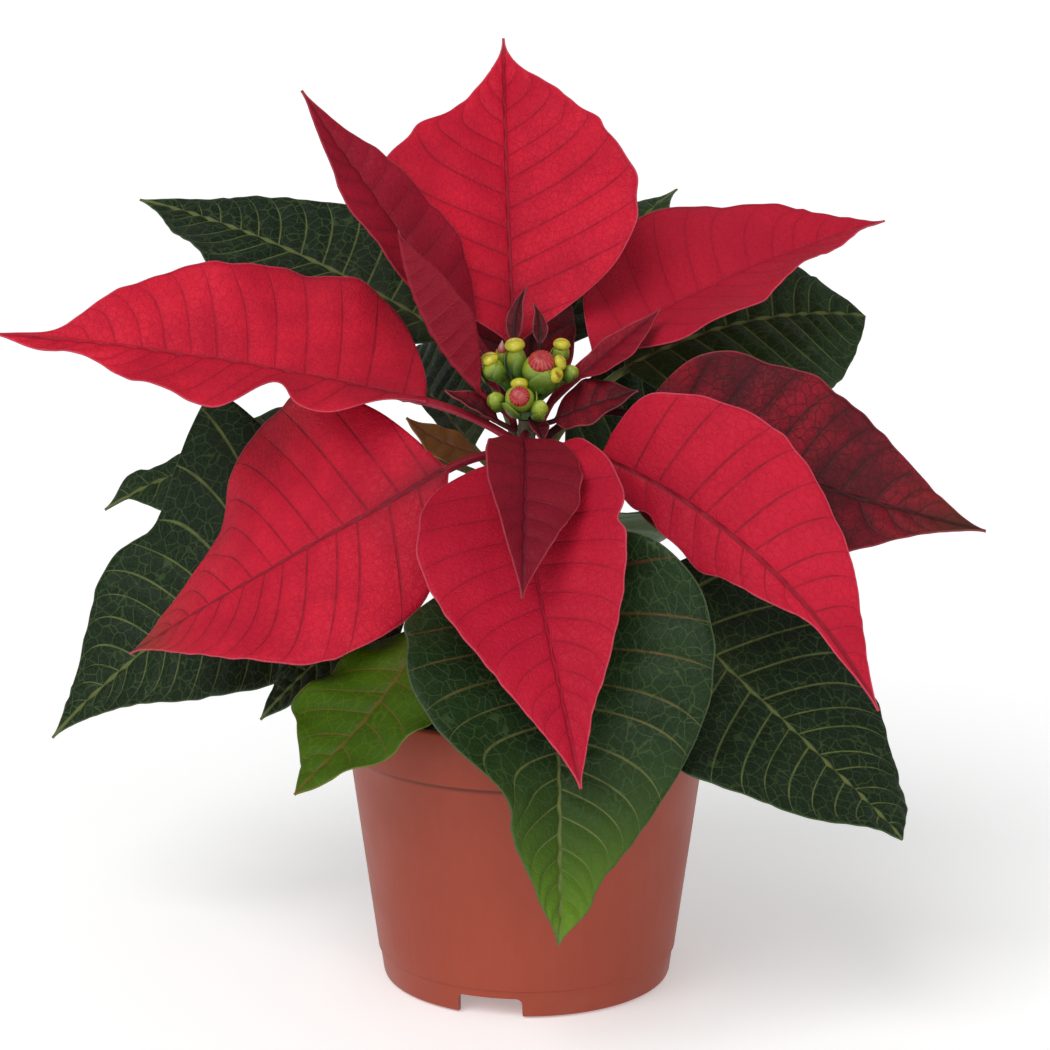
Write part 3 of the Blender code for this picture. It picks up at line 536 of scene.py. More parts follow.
def leaf_material(name, lit, deep, rib, net, margin, under, tip, rough=0.5, bump=0.25, rib_width=0.8,
                  vein_width=0.42, net_size=3.0, net_share=0.5, beside_share=0.5, vein_share=0.7,
                  gloss=0.2, blotch=0.5):
    """Living tissue: lit between the veins and deep beside them, with its own ribs, margin and back."""
    material, tree, shader, place = new_material(name)
    distances = node(tree, "Attribute", attribute_name="distances").outputs["Vector"]
    tints = node(tree, "Attribute", attribute_name="tints").outputs["Vector"]
    tints = node(tree, "SeparateXYZ", {0: tints}).outputs
    light = node(tree, "Attribute", attribute_name="light").outputs["Vector"]
    light = node(tree, "SeparateXYZ", {0: light}).outputs
    flat = node(tree, "UVMap", uv_map="flat_blade").outputs["UV"]
    pattern = node(tree, "Group", node_tree=PATTERN)
    for label, value in (("Distances", distances), ("Flat", flat)):
        tree.links.new(value, pattern.inputs[label])
    for label, value in (("Rib", rib_width), ("Vein", vein_width), ("Net", net_size)):
        pattern.inputs[label].default_value = value
    masks = pattern.outputs
    broad = fade(tree, speckle(tree, place, 60.0, 4.0), 0.35, 0.68)
    fine = fade(tree, speckle(tree, place, 900.0, 2.0), 0.3, 0.7)
    colour = blend_of(tree, broad, lit, deep, blotch)
    colour = blend_of(tree, masks["Beside"], colour, deep, beside_share)
    colour = blend_of(tree, fine, colour, deep, 0.22)
    # Painted shade, in part: each leaf's depth pulls it towards its deep colour, also standing in for the
    # shadow other leaves cast on it
    colour = blend_of(tree, light["X"], colour, deep)
    colour = blend_of(tree, tints["Y"], colour, rib)
    colour = blend_of(tree, tints["X"], colour, tip)
    net_seen = fade(tree, tints["X"], 0.0, 0.5, net_share, 0.1)
    colour = blend_of(tree, masks["Net"], colour, net, net_seen)
    warm_rib = blend_of(tree, light["Y"], rib, WARM_RIB)
    vein_seen = times(tree, reckon(tree, "SUBTRACT", 1.0, light["Z"]), vein_share)
    colour = blend_of(tree, masks["Ribs"], colour, warm_rib, vein_seen)
    colour = blend_of(tree, masks["Margin"], colour, margin, 0.7)
    back = blend_of(tree, masks["Net"], under, net, 0.35)
    back = blend_of(tree, masks["Ribs"], back, margin, 0.2)
    colour = blend_of(tree, tints["Z"], back, colour)
    satin = fade(tree, fine, 0.0, 1.0, rough - 0.06, rough + 0.08)
    height = reckon(tree, "ADD", masks["Height"], times(tree, fine, 0.35))
    coat(tree, shader, colour, satin, height, bump, 0.0006)
    shader.inputs["Specular IOR Level"].default_value = gloss
    return material


def heading_vectors(heading, slope):
    """Unit vectors at compass angles from +X and angles above the horizontal, in degrees."""
    turn, rise = np.radians(heading), np.radians(slope)
    return np.stack((np.cos(rise) * np.cos(turn), np.cos(rise) * np.sin(turn), np.sin(rise)), axis=-1)


def run_of(start, headings, slopes, length):
    """Points along a rib whose heading and slope change evenly from one end to the other."""
    share = (np.arange(RIB_STEPS) + 0.5) / RIB_STEPS
    steps = heading_vectors(np.interp(share, (0, 1), headings), np.interp(share, (0, 1), slopes))
    return np.concatenate((start[None], start + np.cumsum(steps * length / RIB_STEPS, axis=0)))


def places_on(run, share):
    """Points at shares of the way along a run of points."""
    steps = np.arange(RIB_STEPS + 1)
    return np.stack([np.interp(share * RIB_STEPS, steps, run[:, axis]) for axis in range(3)], axis=-1)


@dataclass
class Leaf:
    """Sizes in mm and angles in degrees. Pairs go from stalk to tip, or from the left half to the right.

    Tip, shade, depth, warm and faint are for the colour: how far the tip's colour reaches, how dark the
    base is, how deep the tissue, partly its own deeper tone and partly painted shade where it lies in the
    shadow of other leaves, how red the rib, and how far the side veins fade."""

    joint: float
    heading: tuple
    slope: tuple
    stalk: float
    blade: float
    width: tuple
    roll: tuple = (0, 0)
    fold: tuple = (10, 10)
    curl: float = 0.0
    swell: float = 0.8
    taper: float = 1.3
    wave: float = 1.5
    waves: float = 3.0
    phase: float = 0.0
    left: tuple = ()
    right: tuple = ()
    tip: float = 0.0
    shade: float = 0.3
    depth: float = 0.0
    warm: float = 0.0
    faint: float = 0.0
    puff: float = 0.3

    def big(self):
        return self.blade > BIG_BLADE

    def thick(self):
        return BIG_STALK if self.big() else SMALL_STALK

    def start(self):
        centre = stem_centre(self.joint)
        tilt = abs(math.sin(math.radians(self.slope[0])))
        reach = stem_radius(self.joint) + STEM_GAP + self.thick() * tilt
        return centre + reach * heading_vectors(self.heading[0], 0.0)

    def half_width(self, share, hand):
        """Width of one half of the blade, with the (place, height, length) of each bump of its edge."""
        inner = np.clip(share, 0.0, 1.0)
        widest = self.swell / (self.swell + self.taper)
        width = self.width[hand] * (inner / widest) ** self.swell * ((1 - inner) / (1 - widest)) ** self.taper
        for place, height, length in (self.left, self.right)[hand]:
            width += height * np.exp(-(((inner - place) / length) ** 2))
        return np.where((inner <= 0.0) | (inner >= 1.0), 0.0, np.maximum(width, 0.0))

    def axes(self, heading, slope, roll):
        """Side and normal of the blade along the rib. A positive roll tips the right side down."""
        along = heading_vectors(heading, slope)
        turn, tilt = np.radians(heading), np.radians(roll)[..., None]
        side = np.stack((np.sin(turn), -np.cos(turn), np.zeros_like(turn)), axis=-1)
        normal = np.cross(side, along)
        return side * np.cos(tilt) - normal * np.sin(tilt), normal * np.cos(tilt) + side * np.sin(tilt)

    def stalk_rows(self, across):
        """Middle surface of the stalk, as wide as it is thick, and the point where the blade starts."""
        share = np.linspace(0.0, 1.0, STALK_ROWS, endpoint=False)
        run = run_of(self.start(), self.heading[:2], self.slope[:2], self.stalk)
        heading = np.interp(share, (0, 1), self.heading[:2])
        slope = np.interp(share, (0, 1), self.slope[:2])
        side, _ = self.axes(heading, slope, np.full_like(share, self.roll[0]))
        rows = places_on(run, share)[:, None] + side[:, None] * (self.thick() * across)[None, :, None]
        return rows, run[-1]

    def blade_rows(self, foot, share, across, ruffle):
        """Middle surface of the blade at shares along it and across it, from -1 at the left edge to 1."""
        run = run_of(foot, self.heading[1:], self.slope[1:], self.blade)
        heading = np.interp(share, (0, 1), self.heading[1:])
        slope = np.interp(share, (0, 1), self.slope[1:])
        side, normal = self.axes(heading, slope, np.interp(share, (0, 1), self.roll))
        right = across >= 0
        full = np.where(right, self.half_width(share, 1), self.half_width(share, 0))
        end = self.thick() + (TIP_HALF_WIDTH - self.thick()) * share
        width = np.hypot(full, end)
        open_up = np.minimum(1.0, full / (3.0 * self.thick()))
        fold = np.radians(np.where(right, self.fold[1], self.fold[0])) * open_up
        reach = (width + ruffle * np.minimum(1.0, full / RUFFLE_WIDTH) * across**4) * np.abs(across)
        turn = 2 * np.pi * (self.waves * share + self.phase + np.where(right, 0.31, 0.0))
        lift = reach * np.sin(fold) + self.curl * reach * np.abs(across)
        lift += self.wave * across**2 * np.sin(turn) * np.sqrt(full / max(self.width))
        flat = np.sign(across) * reach * np.cos(fold)
        return places_on(run, share) + side * flat[..., None] + normal * lift[..., None], reach, width


def side_vein_places(veins, draw):
    """Where each side vein leaves the rib: closer together towards the tip, and a little uneven."""
    phase = np.arange(veins + 1.0)
    phase[1:-1] += draw.uniform(-0.16, 0.16, veins - 1)
    return (np.sqrt(1 + 4 * CROWDING * (1 + CROWDING) * phase / veins) - 1) / (2 * CROWDING)


def ripple_of(points, scale, seed):
    """A small smooth unevenness, different for each leaf."""
    draw = np.random.default_rng(seed)
    waves = [draw.normal(0.0, 1.0, 3) / scale for _ in range(6)]
    return sum(np.sin(points @ wave + draw.uniform(0, 6.28)) for wave in waves) / 6


def leaf_surface(leaf, columns, seed):
    """Points of a closed leaf as rows of rings, with what each point needs for its colour.

    The rows of the blade run along its side veins, so that each vein is a sharp furrow above and a
    ridge below."""
    draw = np.random.default_rng(seed)
    half_columns = np.linspace(0.0, 1.0, columns // 2 + 1)
    half_columns = 0.45 * half_columns + 0.55 * half_columns**2
    across = np.concatenate((-half_columns[:0:-1], half_columns))
    reach = np.abs(across)
    veins = max(5, round(leaf.blade / (VEIN_SPACING if leaf.big() else SMALL_VEIN_SPACING)))
    rows = ROWS_PER_VEIN if leaf.big() else ROWS_PER_SMALL_VEIN
    phase = np.linspace(0.0, veins, veins * rows + 1)
    along = np.interp(phase, np.arange(veins + 1), side_vein_places(veins, draw))[:, None]
    lean = min(0.17, 0.42 * sum(leaf.width) / 2 / leaf.blade)
    bow = 4 * along * (1 - along)
    share = along + lean * bow * (0.7 * reach + 0.3 * reach**3)[None, :]
    stray = draw.uniform(-0.2, 0.2, (2, veins + 1)) / veins
    for side, columns_of in ((0, across < 0), (1, across >= 0)):
        moved = np.interp(phase, np.arange(veins + 1), stray[side])[:, None] * bow
        share[:, columns_of] += moved * (reach[columns_of] ** 1.5)[None, :]
    shift = np.where(across >= 0, RIGHT_VEIN_SHIFT, 0.0)[None, :]
    off_vein = np.abs((phase[:, None] + shift + 0.5) % 1.0 - 0.5)
    spacing = leaf.blade / veins
    between = np.sin(np.pi * off_vein) ** 2
    knots = np.linspace(0.0, veins, 2 * veins + 1)
    edge_noise = np.interp(phase, knots, draw.normal(0.0, 0.14, len(knots)))
    ruffle = (between - 0.5) * 0.35 + edge_noise[:, None]

    stalk, foot = leaf.stalk_rows(across)
    blade, from_rib, width = leaf.blade_rows(foot, share, np.broadcast_to(across, share.shape),
                                             ruffle if leaf.big() else 0.4 * ruffle)
    middle = np.concatenate((stalk, blade))
    normal = np.cross(np.gradient(middle, axis=1), np.gradient(middle, axis=0))
    normal /= np.maximum(np.linalg.norm(normal, axis=2, keepdims=True), 1e-9)

    def with_stalk(values, fill):
        return np.concatenate((np.full((STALK_ROWS, columns), fill), np.broadcast_to(values, share.shape)))

    share_all = with_stalk(share, 0.0)
    vein_mm = with_stalk(off_vein * spacing, spacing)
    rib_mm = with_stalk(from_rib, 0.0)
    edge_mm = with_stalk(width * (1 - reach), 2.0)
    full = with_stalk(np.clip((width - 2.0) / 4.0, 0.0, 1.0), 0.0)
    outer = np.broadcast_to(reach, share_all.shape)

    thin = 0.26 - 0.12 * outer**4
    round_section = leaf.thick() * np.cos(np.radians(80.0 * outer))
    keep = np.maximum(0.0, 1.0 - share_all / 0.16) ** 2
    keep = np.where(share_all <= 0.0, 1.0, keep)
    half = thin + (round_section - thin) * keep

    size = 1.0 if leaf.big() else 0.5
    furrow = np.exp(-((vein_mm / 0.75) ** 2)) * (1 - outer**6) * full
    rib_furrow = np.exp(-((rib_mm / (1.3 * size)) ** 2)) * full
    pillow = np.sin(np.pi * np.clip(vein_mm / spacing, 0, 0.5)) ** 2 * full * (1 - outer**3)
    uneven = ripple_of(middle, 4.0, seed) * 0.25 + ripple_of(middle, 13.0, seed + 1) * 0.7
    uneven += with_stalk(edge_noise[:, None], 0.0) * outer**3
    rise = leaf.puff * size * pillow + size * uneven * full - 0.14 * furrow - 0.25 * size * rib_furrow
    under_rib = 1.15 * size * (1 - np.clip(share_all, 0, 1)) ** 0.8 * np.exp(-((rib_mm / (1.2 * size)) ** 4))
    below = under_rib * (1 - keep) + 0.28 * size * furrow * (1 - 0.6 * outer)

    top = middle + normal * (half + rise)[..., None]
    bottom = middle - normal * (half - rise + below)[..., None]
    rings = np.concatenate((top, bottom[:, ::-1], top[:, :1]), axis=1)

    def ringed(values):
        return np.concatenate((values, values[:, ::-1], values[:, :1]), axis=1)

    lit_face, back_face = np.ones_like(outer), np.zeros_like(outer)
    upper = np.concatenate((lit_face, back_face, lit_face[:, :1]), axis=1)
    tip = np.clip(1 - (1 - share_all) / (0.3 * max(leaf.tip, 0.01)), 0, 1) ** 2
    base = leaf.shade * np.exp(-rib_mm / 5.0) * np.clip(1 - share_all / 0.55, 0, 1) ** 1.5
    base = np.where(share_all <= 0.0, min(leaf.shade, 0.5), base)
    sideways = np.where(across < 0, -1, 1)[None] * rib_mm
    flat = np.stack((ringed(sideways), ringed(share_all * leaf.blade)), axis=-1)
    distances = np.stack((ringed(vein_mm), ringed(rib_mm), ringed(edge_mm)), axis=-1)
    tints = np.stack((ringed(tip), ringed(base), upper), axis=-1)
    warm = leaf.warm * np.clip(1.2 - share_all / 0.6, 0, 1)
    # The light attribute holds the depth, which is partly painted shade, then the red of the rib and the
    # fading of the side veins
    light = (np.full_like(outer, leaf.depth), warm, np.full_like(outer, leaf.faint))
    light = np.stack([ringed(values) for values in light], axis=-1)
    return rings, flat / 10, distances, tints, light


def make_leaf(name, leaf, material, seed):
    """A grid, rolled into a tube along the leaf's rings, closed at its seam and its two ends."""
    columns = COLUMNS if leaf.big() else SMALL_COLUMNS
    rings, flat, distances, tints, light = leaf_surface(leaf, columns, seed)
    row_count, ring_count = rings.shape[:2]
    nothing_selected()
    bpy.ops.mesh.primitive_grid_add(x_subdivisions=ring_count - 1, y_subdivisions=row_count - 1, size=1.0)
    piece = bpy.context.object
    piece.name = name + "_blade"
    mesh = piece.data
    mesh.vertices.foreach_set("co", (rings * MM).astype(np.float32).ravel())
    for label, values in (("distances", distances), ("tints", tints), ("light", light)):
        attribute = mesh.attributes.new(label, "FLOAT_VECTOR", "POINT")
        attribute.data.foreach_set("vector", values.astype(np.float32).ravel())
    corner = np.zeros(len(mesh.loops), np.int32)
    mesh.loops.foreach_get("vertex_index", corner)
    mesh.uv_layers[0].name = "flat_blade"
    mesh.uv_layers[0].data.foreach_set("uv", flat.reshape(-1, 2)[corner].astype(np.float32).ravel())
    bpy.ops.object.mode_set(mode="EDIT")
    bpy.ops.mesh.select_all(action="SELECT")
    bpy.ops.mesh.remove_doubles(threshold=0.000001)
    bpy.ops.mesh.fill_holes(sides=0)
    finish_mesh()
    bpy.ops.object.shade_smooth()
    mesh.materials.append(material)
    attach(piece, "root")
    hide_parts(name)


# Large red bracts: leaves that turned red, in a star round the flowers. Soft velvety tissue with
# sunken, darker veins and a thin pale margin, each on a red stalk from the top joints of the stem
BRACT_RED = leaf_material(
    "bract_red", lit=(0.66, 0.012, 0.036), deep=(0.38, 0.004, 0.024), rib=(0.12, 0.008, 0.016),
    net=(0.38, 0.006, 0.024), margin=(0.60, 0.09, 0.13), under=(0.42, 0.030, 0.065), tip=(0.16, 0.05, 0.02),
    rough=0.55, net_size=4.0, net_share=0.4, beside_share=0.16, vein_width=0.4, rib_width=0.9,
    vein_share=0.65, blotch=0.6, bump=0.45, gloss=0.15)
# Painted shade: the red darkened to crimson for the small bracts, which lie in the shadow of the big ones
BRACT_CRIMSON_SHADED = leaf_material(
    "bract_crimson", lit=(0.30, 0.004, 0.020), deep=(0.14, 0.002, 0.011), rib=(0.10, 0.006, 0.014),
    net=(0.17, 0.005, 0.015), margin=(0.40, 0.05, 0.07), under=(0.22, 0.005, 0.017), tip=(0.12, 0.03, 0.02),
    rough=0.55, net_share=0.35, beside_share=0.25, vein_width=0.35, bump=0.4, gloss=0.15)
# Painted shade over a real dark net of veins: a darker copy of the red for the bracts in shade and the slips
# between the cups
BRACT_DARK_SHADED = leaf_material(
    "bract_dark_red", lit=(0.29, 0.006, 0.020), deep=(0.050, 0.006, 0.010), rib=(0.030, 0.010, 0.010),
    net=(0.05, 0.010, 0.010), margin=(0.30, 0.07, 0.08), under=(0.18, 0.018, 0.032),
    tip=(0.060, 0.028, 0.012), rough=0.5, net_size=3.4, net_share=0.9, beside_share=0.45, vein_share=0.8,
    blotch=0.8, bump=0.4, gloss=0.12)
LARGE_BRACTS = {
    "bract_top": Leaf(
        156, (107, 95, 93), (57, 55, 68), 23, 93, (39, 39), roll=(0, -9), fold=(24, 25), swell=1.05,
        taper=1.8, wave=1.0, waves=3.5, tip=0.25, shade=0.7, depth=0.15, faint=0.15,
        left=((0.56, 5, 0.12), (0.69, 3.5, 0.04)), right=((0.62, 5, 0.1), (0.69, 2.5, 0.035),
        (0.79, 6, 0.1), (0.48, 2.5, 0.06))),
    "bract_left": Leaf(
        151, (185, 171, 175), (36, 12, 3.5), 27, 122, (25, 36), roll=(-6, -44), fold=(6, 21), swell=0.75,
        taper=1.4, wave=2.4, waves=3.7, phase=0.07, shade=0.5, depth=0.05, faint=0.35,
        left=((0.325, -13, 0.05), (0.76, -5, 0.1), (0.88, 2, 0.06)), right=((0.12, 8, 0.09),
        (0.25, 2, 0.08), (0.38, 2.5, 0.05), (0.5, -1.8, 0.04), (0.62, 3, 0.06), (0.84, -5.5, 0.09))),
    "bract_lower_left": Leaf(
        148, (229, 182, 169), (15, -29, -33), 23, 103, (37, 48), roll=(-67, -18), fold=(3, 0), curl=-0.06,
        swell=0.9, taper=1.35, wave=2.0, phase=0.2, tip=0.9, shade=1.0, depth=0.2, left=((0.7, 1.5, 0.05),),
        right=((0.08, 2.6, 0.06), (0.48, 1.5, 0.08), (0.67, -6, 0.045), (0.78, 2, 0.04))),
    "bract_front": Leaf(
        149, (277, 266, 298), (0, -19, -66), 8, 106, (28, 31), roll=(17, 11), fold=(20, 15), swell=0.6,
        wave=1.2, depth=0.65, faint=0.35, left=((0.04, 1.8, 0.05), (0.385, -2.5, 0.03), (0.82, -1.2, 0.06)),
        right=((0.27, -2.2, 0.08),)),
    "bract_lower_right": Leaf(
        147, (315, 319, 350), (25, -11, -62), 25, 104, (29, 11), roll=(67, 41), fold=(13, -10), swell=0.7,
        taper=1.5, wave=1.6, waves=3.3, depth=0.45, left=((0.06, 3, 0.05), (0.12, 1.2, 0.08)),
        right=((0.2, -2, 0.04), (0.41, 2, 0.05), (0.72, -3, 0.09))),
    "bract_upper_right": Leaf(
        154, (35, 30, 4), (64, 28, 15), 27, 93, (34, 31), roll=(20, 16), fold=(13, 18), swell=0.9, wave=1.6,
        depth=0.7, faint=0.6, left=((0.55, 1.8, 0.08), (0.78, -1.2, 0.08)),
        right=((0.33, 3, 0.08), (0.52, -1.5, 0.04))),
}
SHADED_BRACTS = {
    "bract_right_dark": Leaf(
        150, (353, 331, 363), (53, -18, -13.5), 32, 98, (29, 29), roll=(60, 49), fold=(15, 7), swell=0.55,
        wave=1.4, tip=1.2, shade=0.8, left=((0.3, -2, 0.08), (0.6, 1.5, 0.1)), right=((0.8, -2.5, 0.12),)),
    "bract_back": Leaf(
        152, (88, 88, 86), (37, 35, 28), 12, 78, (23, 13), fold=(15, 15), swell=0.6, wave=1.2),
}
for seed, (name, leaf) in enumerate(LARGE_BRACTS.items()):
    make_leaf(name, leaf, BRACT_RED, seed)
for seed, (name, leaf) in enumerate(SHADED_BRACTS.items(), 20):
    make_leaf(name, leaf, BRACT_DARK_SHADED, seed)


# Small bracts: half-grown ones close round the flowers, and slips of bract between the flower cups.
# Their darker reds are painted shade, for they lie in the shadow of the big bracts. They grow from the
# last joints of the stem
CRIMSON_BRACTS = {
    "bract_top_left": Leaf(
        154, (150, 165, 150), (77, 52, 51), 29, 82, (15, 15), roll=(-16, -31), fold=(16, 12), taper=1.45,
        wave=1.0, faint=0.6),
    "bract_inner_left": Leaf(
        157, (190, 196, 190), (38, 43, 84), 13, 50.5, (12.5, 7.5), roll=(0, 0), fold=(65, 66), swell=1.0,
        taper=1.2, wave=0.4),
    "bract_inner_folded": Leaf(
        157, (15, 14, 11), (50, 37, 40), 16, 29, (4, 13), roll=(25, 41), fold=(30, 29), swell=0.7,
        wave=0.4),
    "bract_inner_front": Leaf(
        153.5, (262, 272, 267), (2, -2, -54), 11, 66, (14.8, 12), roll=(-5, -22), fold=(13, 20), swell=0.7,
        wave=0.8, depth=0.5, left=((0.55, 1.5, 0.08),)),
}
DARK_SLIPS = {
    "bract_inner_right": Leaf(
        156.2, (332, 343, 352), (-2, 25, 18), 6, 24.5, (10, 10), roll=(32, 31), wave=0.5),
    "bractlet_behind_left": Leaf(160, (125, 88, 35), (70, 78, 50), 18, 16, (2.5, 2.5), wave=0.2),
    "bractlet_behind_right": Leaf(160, (60, 80, 150), (65, 78, 60), 18, 11, (2.2, 2.2), wave=0.2),
    "bractlet_left": Leaf(
        154, (196, 190, 196), (25, 32, 32), 6, 17, (4, 4.5), roll=(-30, -40), fold=(30, 30), wave=0.2),
    "bractlet_front": Leaf(
        157.5, (292, 300, 312), (0, -30, -60), 2, 6.5, (3.4, 3.4), fold=(25, 25), wave=0.1),
}
for seed, (name, leaf) in enumerate(CRIMSON_BRACTS.items(), 40):
    make_leaf(name, leaf, BRACT_CRIMSON_SHADED, seed)
for seed, (name, leaf) in enumerate(DARK_SLIPS.items(), 60):
    make_leaf(name, leaf, BRACT_DARK_SHADED, seed)


# Green leaves: below the bracts on long stalks, dark and satin with pale veins. One at the lower left
# has gone yellow, and one small one is still turning from green to red
LEAF_GREEN = leaf_material(
    "leaf_green", lit=(0.015, 0.040, 0.009), deep=(0.005, 0.012, 0.005), rib=(0.14, 0.17, 0.050),
    net=(0.040, 0.070, 0.022), margin=(0.08, 0.11, 0.05), under=(0.07, 0.11, 0.04), tip=(0.13, 0.25, 0.015),
    rough=0.42, net_size=2.6, net_share=0.75, beside_share=0.1, rib_width=0.8, vein_width=0.42,
    vein_share=0.75, bump=0.4, gloss=0.13)
LEAF_YELLOW = leaf_material(
    "leaf_yellow_green", lit=(0.050, 0.110, 0.002), deep=(0.022, 0.055, 0.002), rib=(0.13, 0.08, 0.015),
    net=(0.08, 0.13, 0.006), margin=(0.18, 0.16, 0.04), under=(0.12, 0.19, 0.03), tip=(0.12, 0.15, 0.01),
    rough=0.45, net_share=0.5, beside_share=0.2, net_size=2.4, gloss=0.13)
LEAF_BROWN = leaf_material(
    "leaf_brown_green", lit=(0.15, 0.060, 0.012), deep=(0.07, 0.024, 0.010), rib=(0.09, 0.025, 0.010),
    net=(0.08, 0.04, 0.014), margin=(0.20, 0.09, 0.03), under=(0.13, 0.09, 0.03), tip=(0.10, 0.05, 0.01),
    rough=0.45, net_share=0.4, beside_share=0.3, gloss=0.15)
GREEN_PUFF = 0.6
# The depths of the leaves that lie under the bracts are partly painted shade
GREEN_LEAVES = {
    "leaf_upper_left": Leaf(
        139, (104, 144, 161), (66, 25, 11), 51, 110, (32, 26), roll=(-37, -34), fold=(20, 4), swell=0.7,
        depth=0.9, left=((0.82, 3.5, 0.08), (0.62, 2, 0.08)), right=((0.62, -2.5, 0.12),)),
    "leaf_far_left": Leaf(
        135, (125, 147, 183), (12, 0, -31), 60, 89, (24, 14), roll=(-33, -40), depth=0.45,
        left=((0.76, 5, 0.07), (0.92, -3.5, 0.05)), right=((0.65, -3, 0.1), (0.88, 4, 0.06))),
    "leaf_left": Leaf(
        130, (167, 158, 183), (2, -24, -48), 54, 107, (36, 46), roll=(-64, -46), fold=(9, 10), swell=0.55,
        taper=1.45, depth=0.75, right=((0.45, -9, 0.11), (0.2, 10.5, 0.07))),
    "leaf_low_left": Leaf(
        120, (192, 190, 188), (-10, -30, -48), 30, 55, (17, 17), roll=(-30, -30), depth=0.8),
    "leaf_front": Leaf(
        131, (276, 280, 267), (15, -40, -68), 29, 107, (44, 41), roll=(32, -39), fold=(17, 20), swell=0.55,
        wave=1.6, tip=1.7, warm=1.0, depth=0.25, left=((0.92, 3, 0.05),), right=((0.28, -3, 0.07),
        (0.67, -7, 0.075), (0.92, 2, 0.05))),
    "leaf_lower_right": Leaf(
        127, (321, 335, 321), (-2, -38, -34), 37, 98, (37, 40), roll=(34, 1), fold=(5, 8), curl=-0.06,
        taper=1.0, depth=0.75, left=((0.06, 12, 0.07), (0.74, -2.5, 0.08), (0.92, 3, 0.05)),
        right=((0.64, 2, 0.08),)),
    "leaf_upper_right": Leaf(
        140, (45, 26, 24), (59, 24, -9), 42, 79, (28, 34), roll=(31, 38), fold=(7, 3), curl=-0.05,
        swell=0.9, taper=0.9, wave=1.4, right=((0.07, 8, 0.08),)),
    "leaf_back_high": Leaf(
        143, (86, 68, 49), (42, 36, 22.5), 42, 83, (13, 20), left=((0.55, 8, 0.18), (0.84, 3.5, 0.1))),
    "leaf_back": Leaf(124, (82, 80, 80), (10, -15, -48), 34, 95, (32, 32)),
    "leaf_back_left": Leaf(
        139, (150, 112, 104), (25, 18, 0), 20, 84, (4, 24), roll=(-40, -50), swell=0.6, depth=0.5),
    "leaf_back_right": Leaf(137, (50, 45, 40), (15, 10, -12), 16, 96, (26, 12), roll=(40, 45), depth=0.5),
}
YELLOW_LEAF = Leaf(
    126, (228, 233, 218), (-17, -41, -32), 41, 61, (21, 22), roll=(-1, -10), fold=(10, 4), curl=-0.06,
    swell=0.9, taper=1.2, wave=1.6, waves=4.0, shade=0.8, right=((0.59, 6, 0.08), (0.85, -1.2, 0.07)))
TURNING_LEAF = Leaf(146, (191, 188, 182), (4, 14, 43), 11, 22, (8, 5), roll=(-39, -38), wave=0.5)
for seed, (name, leaf) in enumerate(GREEN_LEAVES.items(), 80):
    leaf.puff = GREEN_PUFF
    make_leaf(name, leaf, LEAF_GREEN, seed)
make_leaf("leaf_yellow", YELLOW_LEAF, LEAF_YELLOW, 100)
make_leaf("leaf_turning", TURNING_LEAF, LEAF_BROWN, 101)


# Flower cups: fleshy green urns on short stalks, grown together from the top of the stem. The ripest
# two have opened, and the rest are still closed buds with yellow-green lips
HEAD_FOOT = (0.0, 0.0, STEM_TOP + STEM_GAP)
HEAD_RADIUS = 2.4
HEAD_HEIGHT = 4.5
CUPS = {
    "upper_left": ((-2.8, 0.5, 173.2), 2.6, 9.4),
    "left": ((-9.2, -2.0, 171.2), 2.9, 7.0),
    "upper_mid": ((-6.8, 3.5, 173.6), 1.8, 6.0),
    "main": ((3.8, -4.5, 171.2), 4.9, 9.8),
    "upper_right": ((9.2, 1.5, 174.8), 2.2, 6.4),
    "front": ((-1.9, -8.4, 164.1), 3.9, 7.8),
    "lower_left": ((-8.2, -5.0, 163.2), 2.2, 5.0),
    "lower_right": ((3.4, -9.4, 161.6), 2.3, 5.4),
    "right": ((12.0, -3.0, 170.4), 2.0, 4.6),
}
CUP_RIDGES = 5


def turned_to(axis):
    return Vector((0.0, 0.0, 1.0)).rotation_difference(Vector(axis)).to_matrix().to_4x4()


def cup_axis(middle):
    """A cup stands up from the end of its stalk and leans out with it."""
    return (Vector(middle) - Vector(HEAD_FOOT)).normalized() + Vector((0.0, -0.15, 0.9))


def egg(name, middle, axis, long_radius, cross_radius, shape, segments=40, rings=24, paint=None):
    """A ball shaped in its own unit frame, stretched along its axis and put in its place.

    Paint gives each point a number that the material colours it by."""
    nothing_selected()
    bpy.ops.mesh.primitive_uv_sphere_add(segments=segments, ring_count=rings, radius=1.0)
    piece = bpy.context.object
    piece.name = name
    ripe = piece.data.attributes.new("ripe", "FLOAT", "POINT")
    for i, vertex in enumerate(piece.data.vertices):
        ripe.data[i].value = paint(vertex.co) if paint else 0.5 + vertex.co.z / 2
        vertex.co = shape(vertex.co)
    size = Matrix.Diagonal((cross_radius * MM, cross_radius * MM, long_radius * MM, 1.0))
    piece.data.transform(Matrix.Translation(Vector(middle) * MM) @ turned_to(axis) @ size)
    bpy.ops.object.shade_smooth()
    return piece


def rod(start, end, radius_start, radius_end):
    """A tapered stalk from one point to another."""
    nothing_selected()
    span = Vector(end) - Vector(start)
    bpy.ops.mesh.primitive_cone_add(vertices=20, radius1=radius_start * MM, radius2=radius_end * MM,
                                    depth=span.length * MM)
    piece = bpy.context.object
    middle = (Vector(start) + Vector(end)) / 2 * MM
    ripe = piece.data.attributes.new("ripe", "FLOAT", "POINT")
    for value in ripe.data:
        value.value = 0.1
    piece.data.transform(Matrix.Translation(middle) @ turned_to(span))
    bpy.ops.object.shade_smooth_by_angle(angle=math.radians(60.0))
    return piece


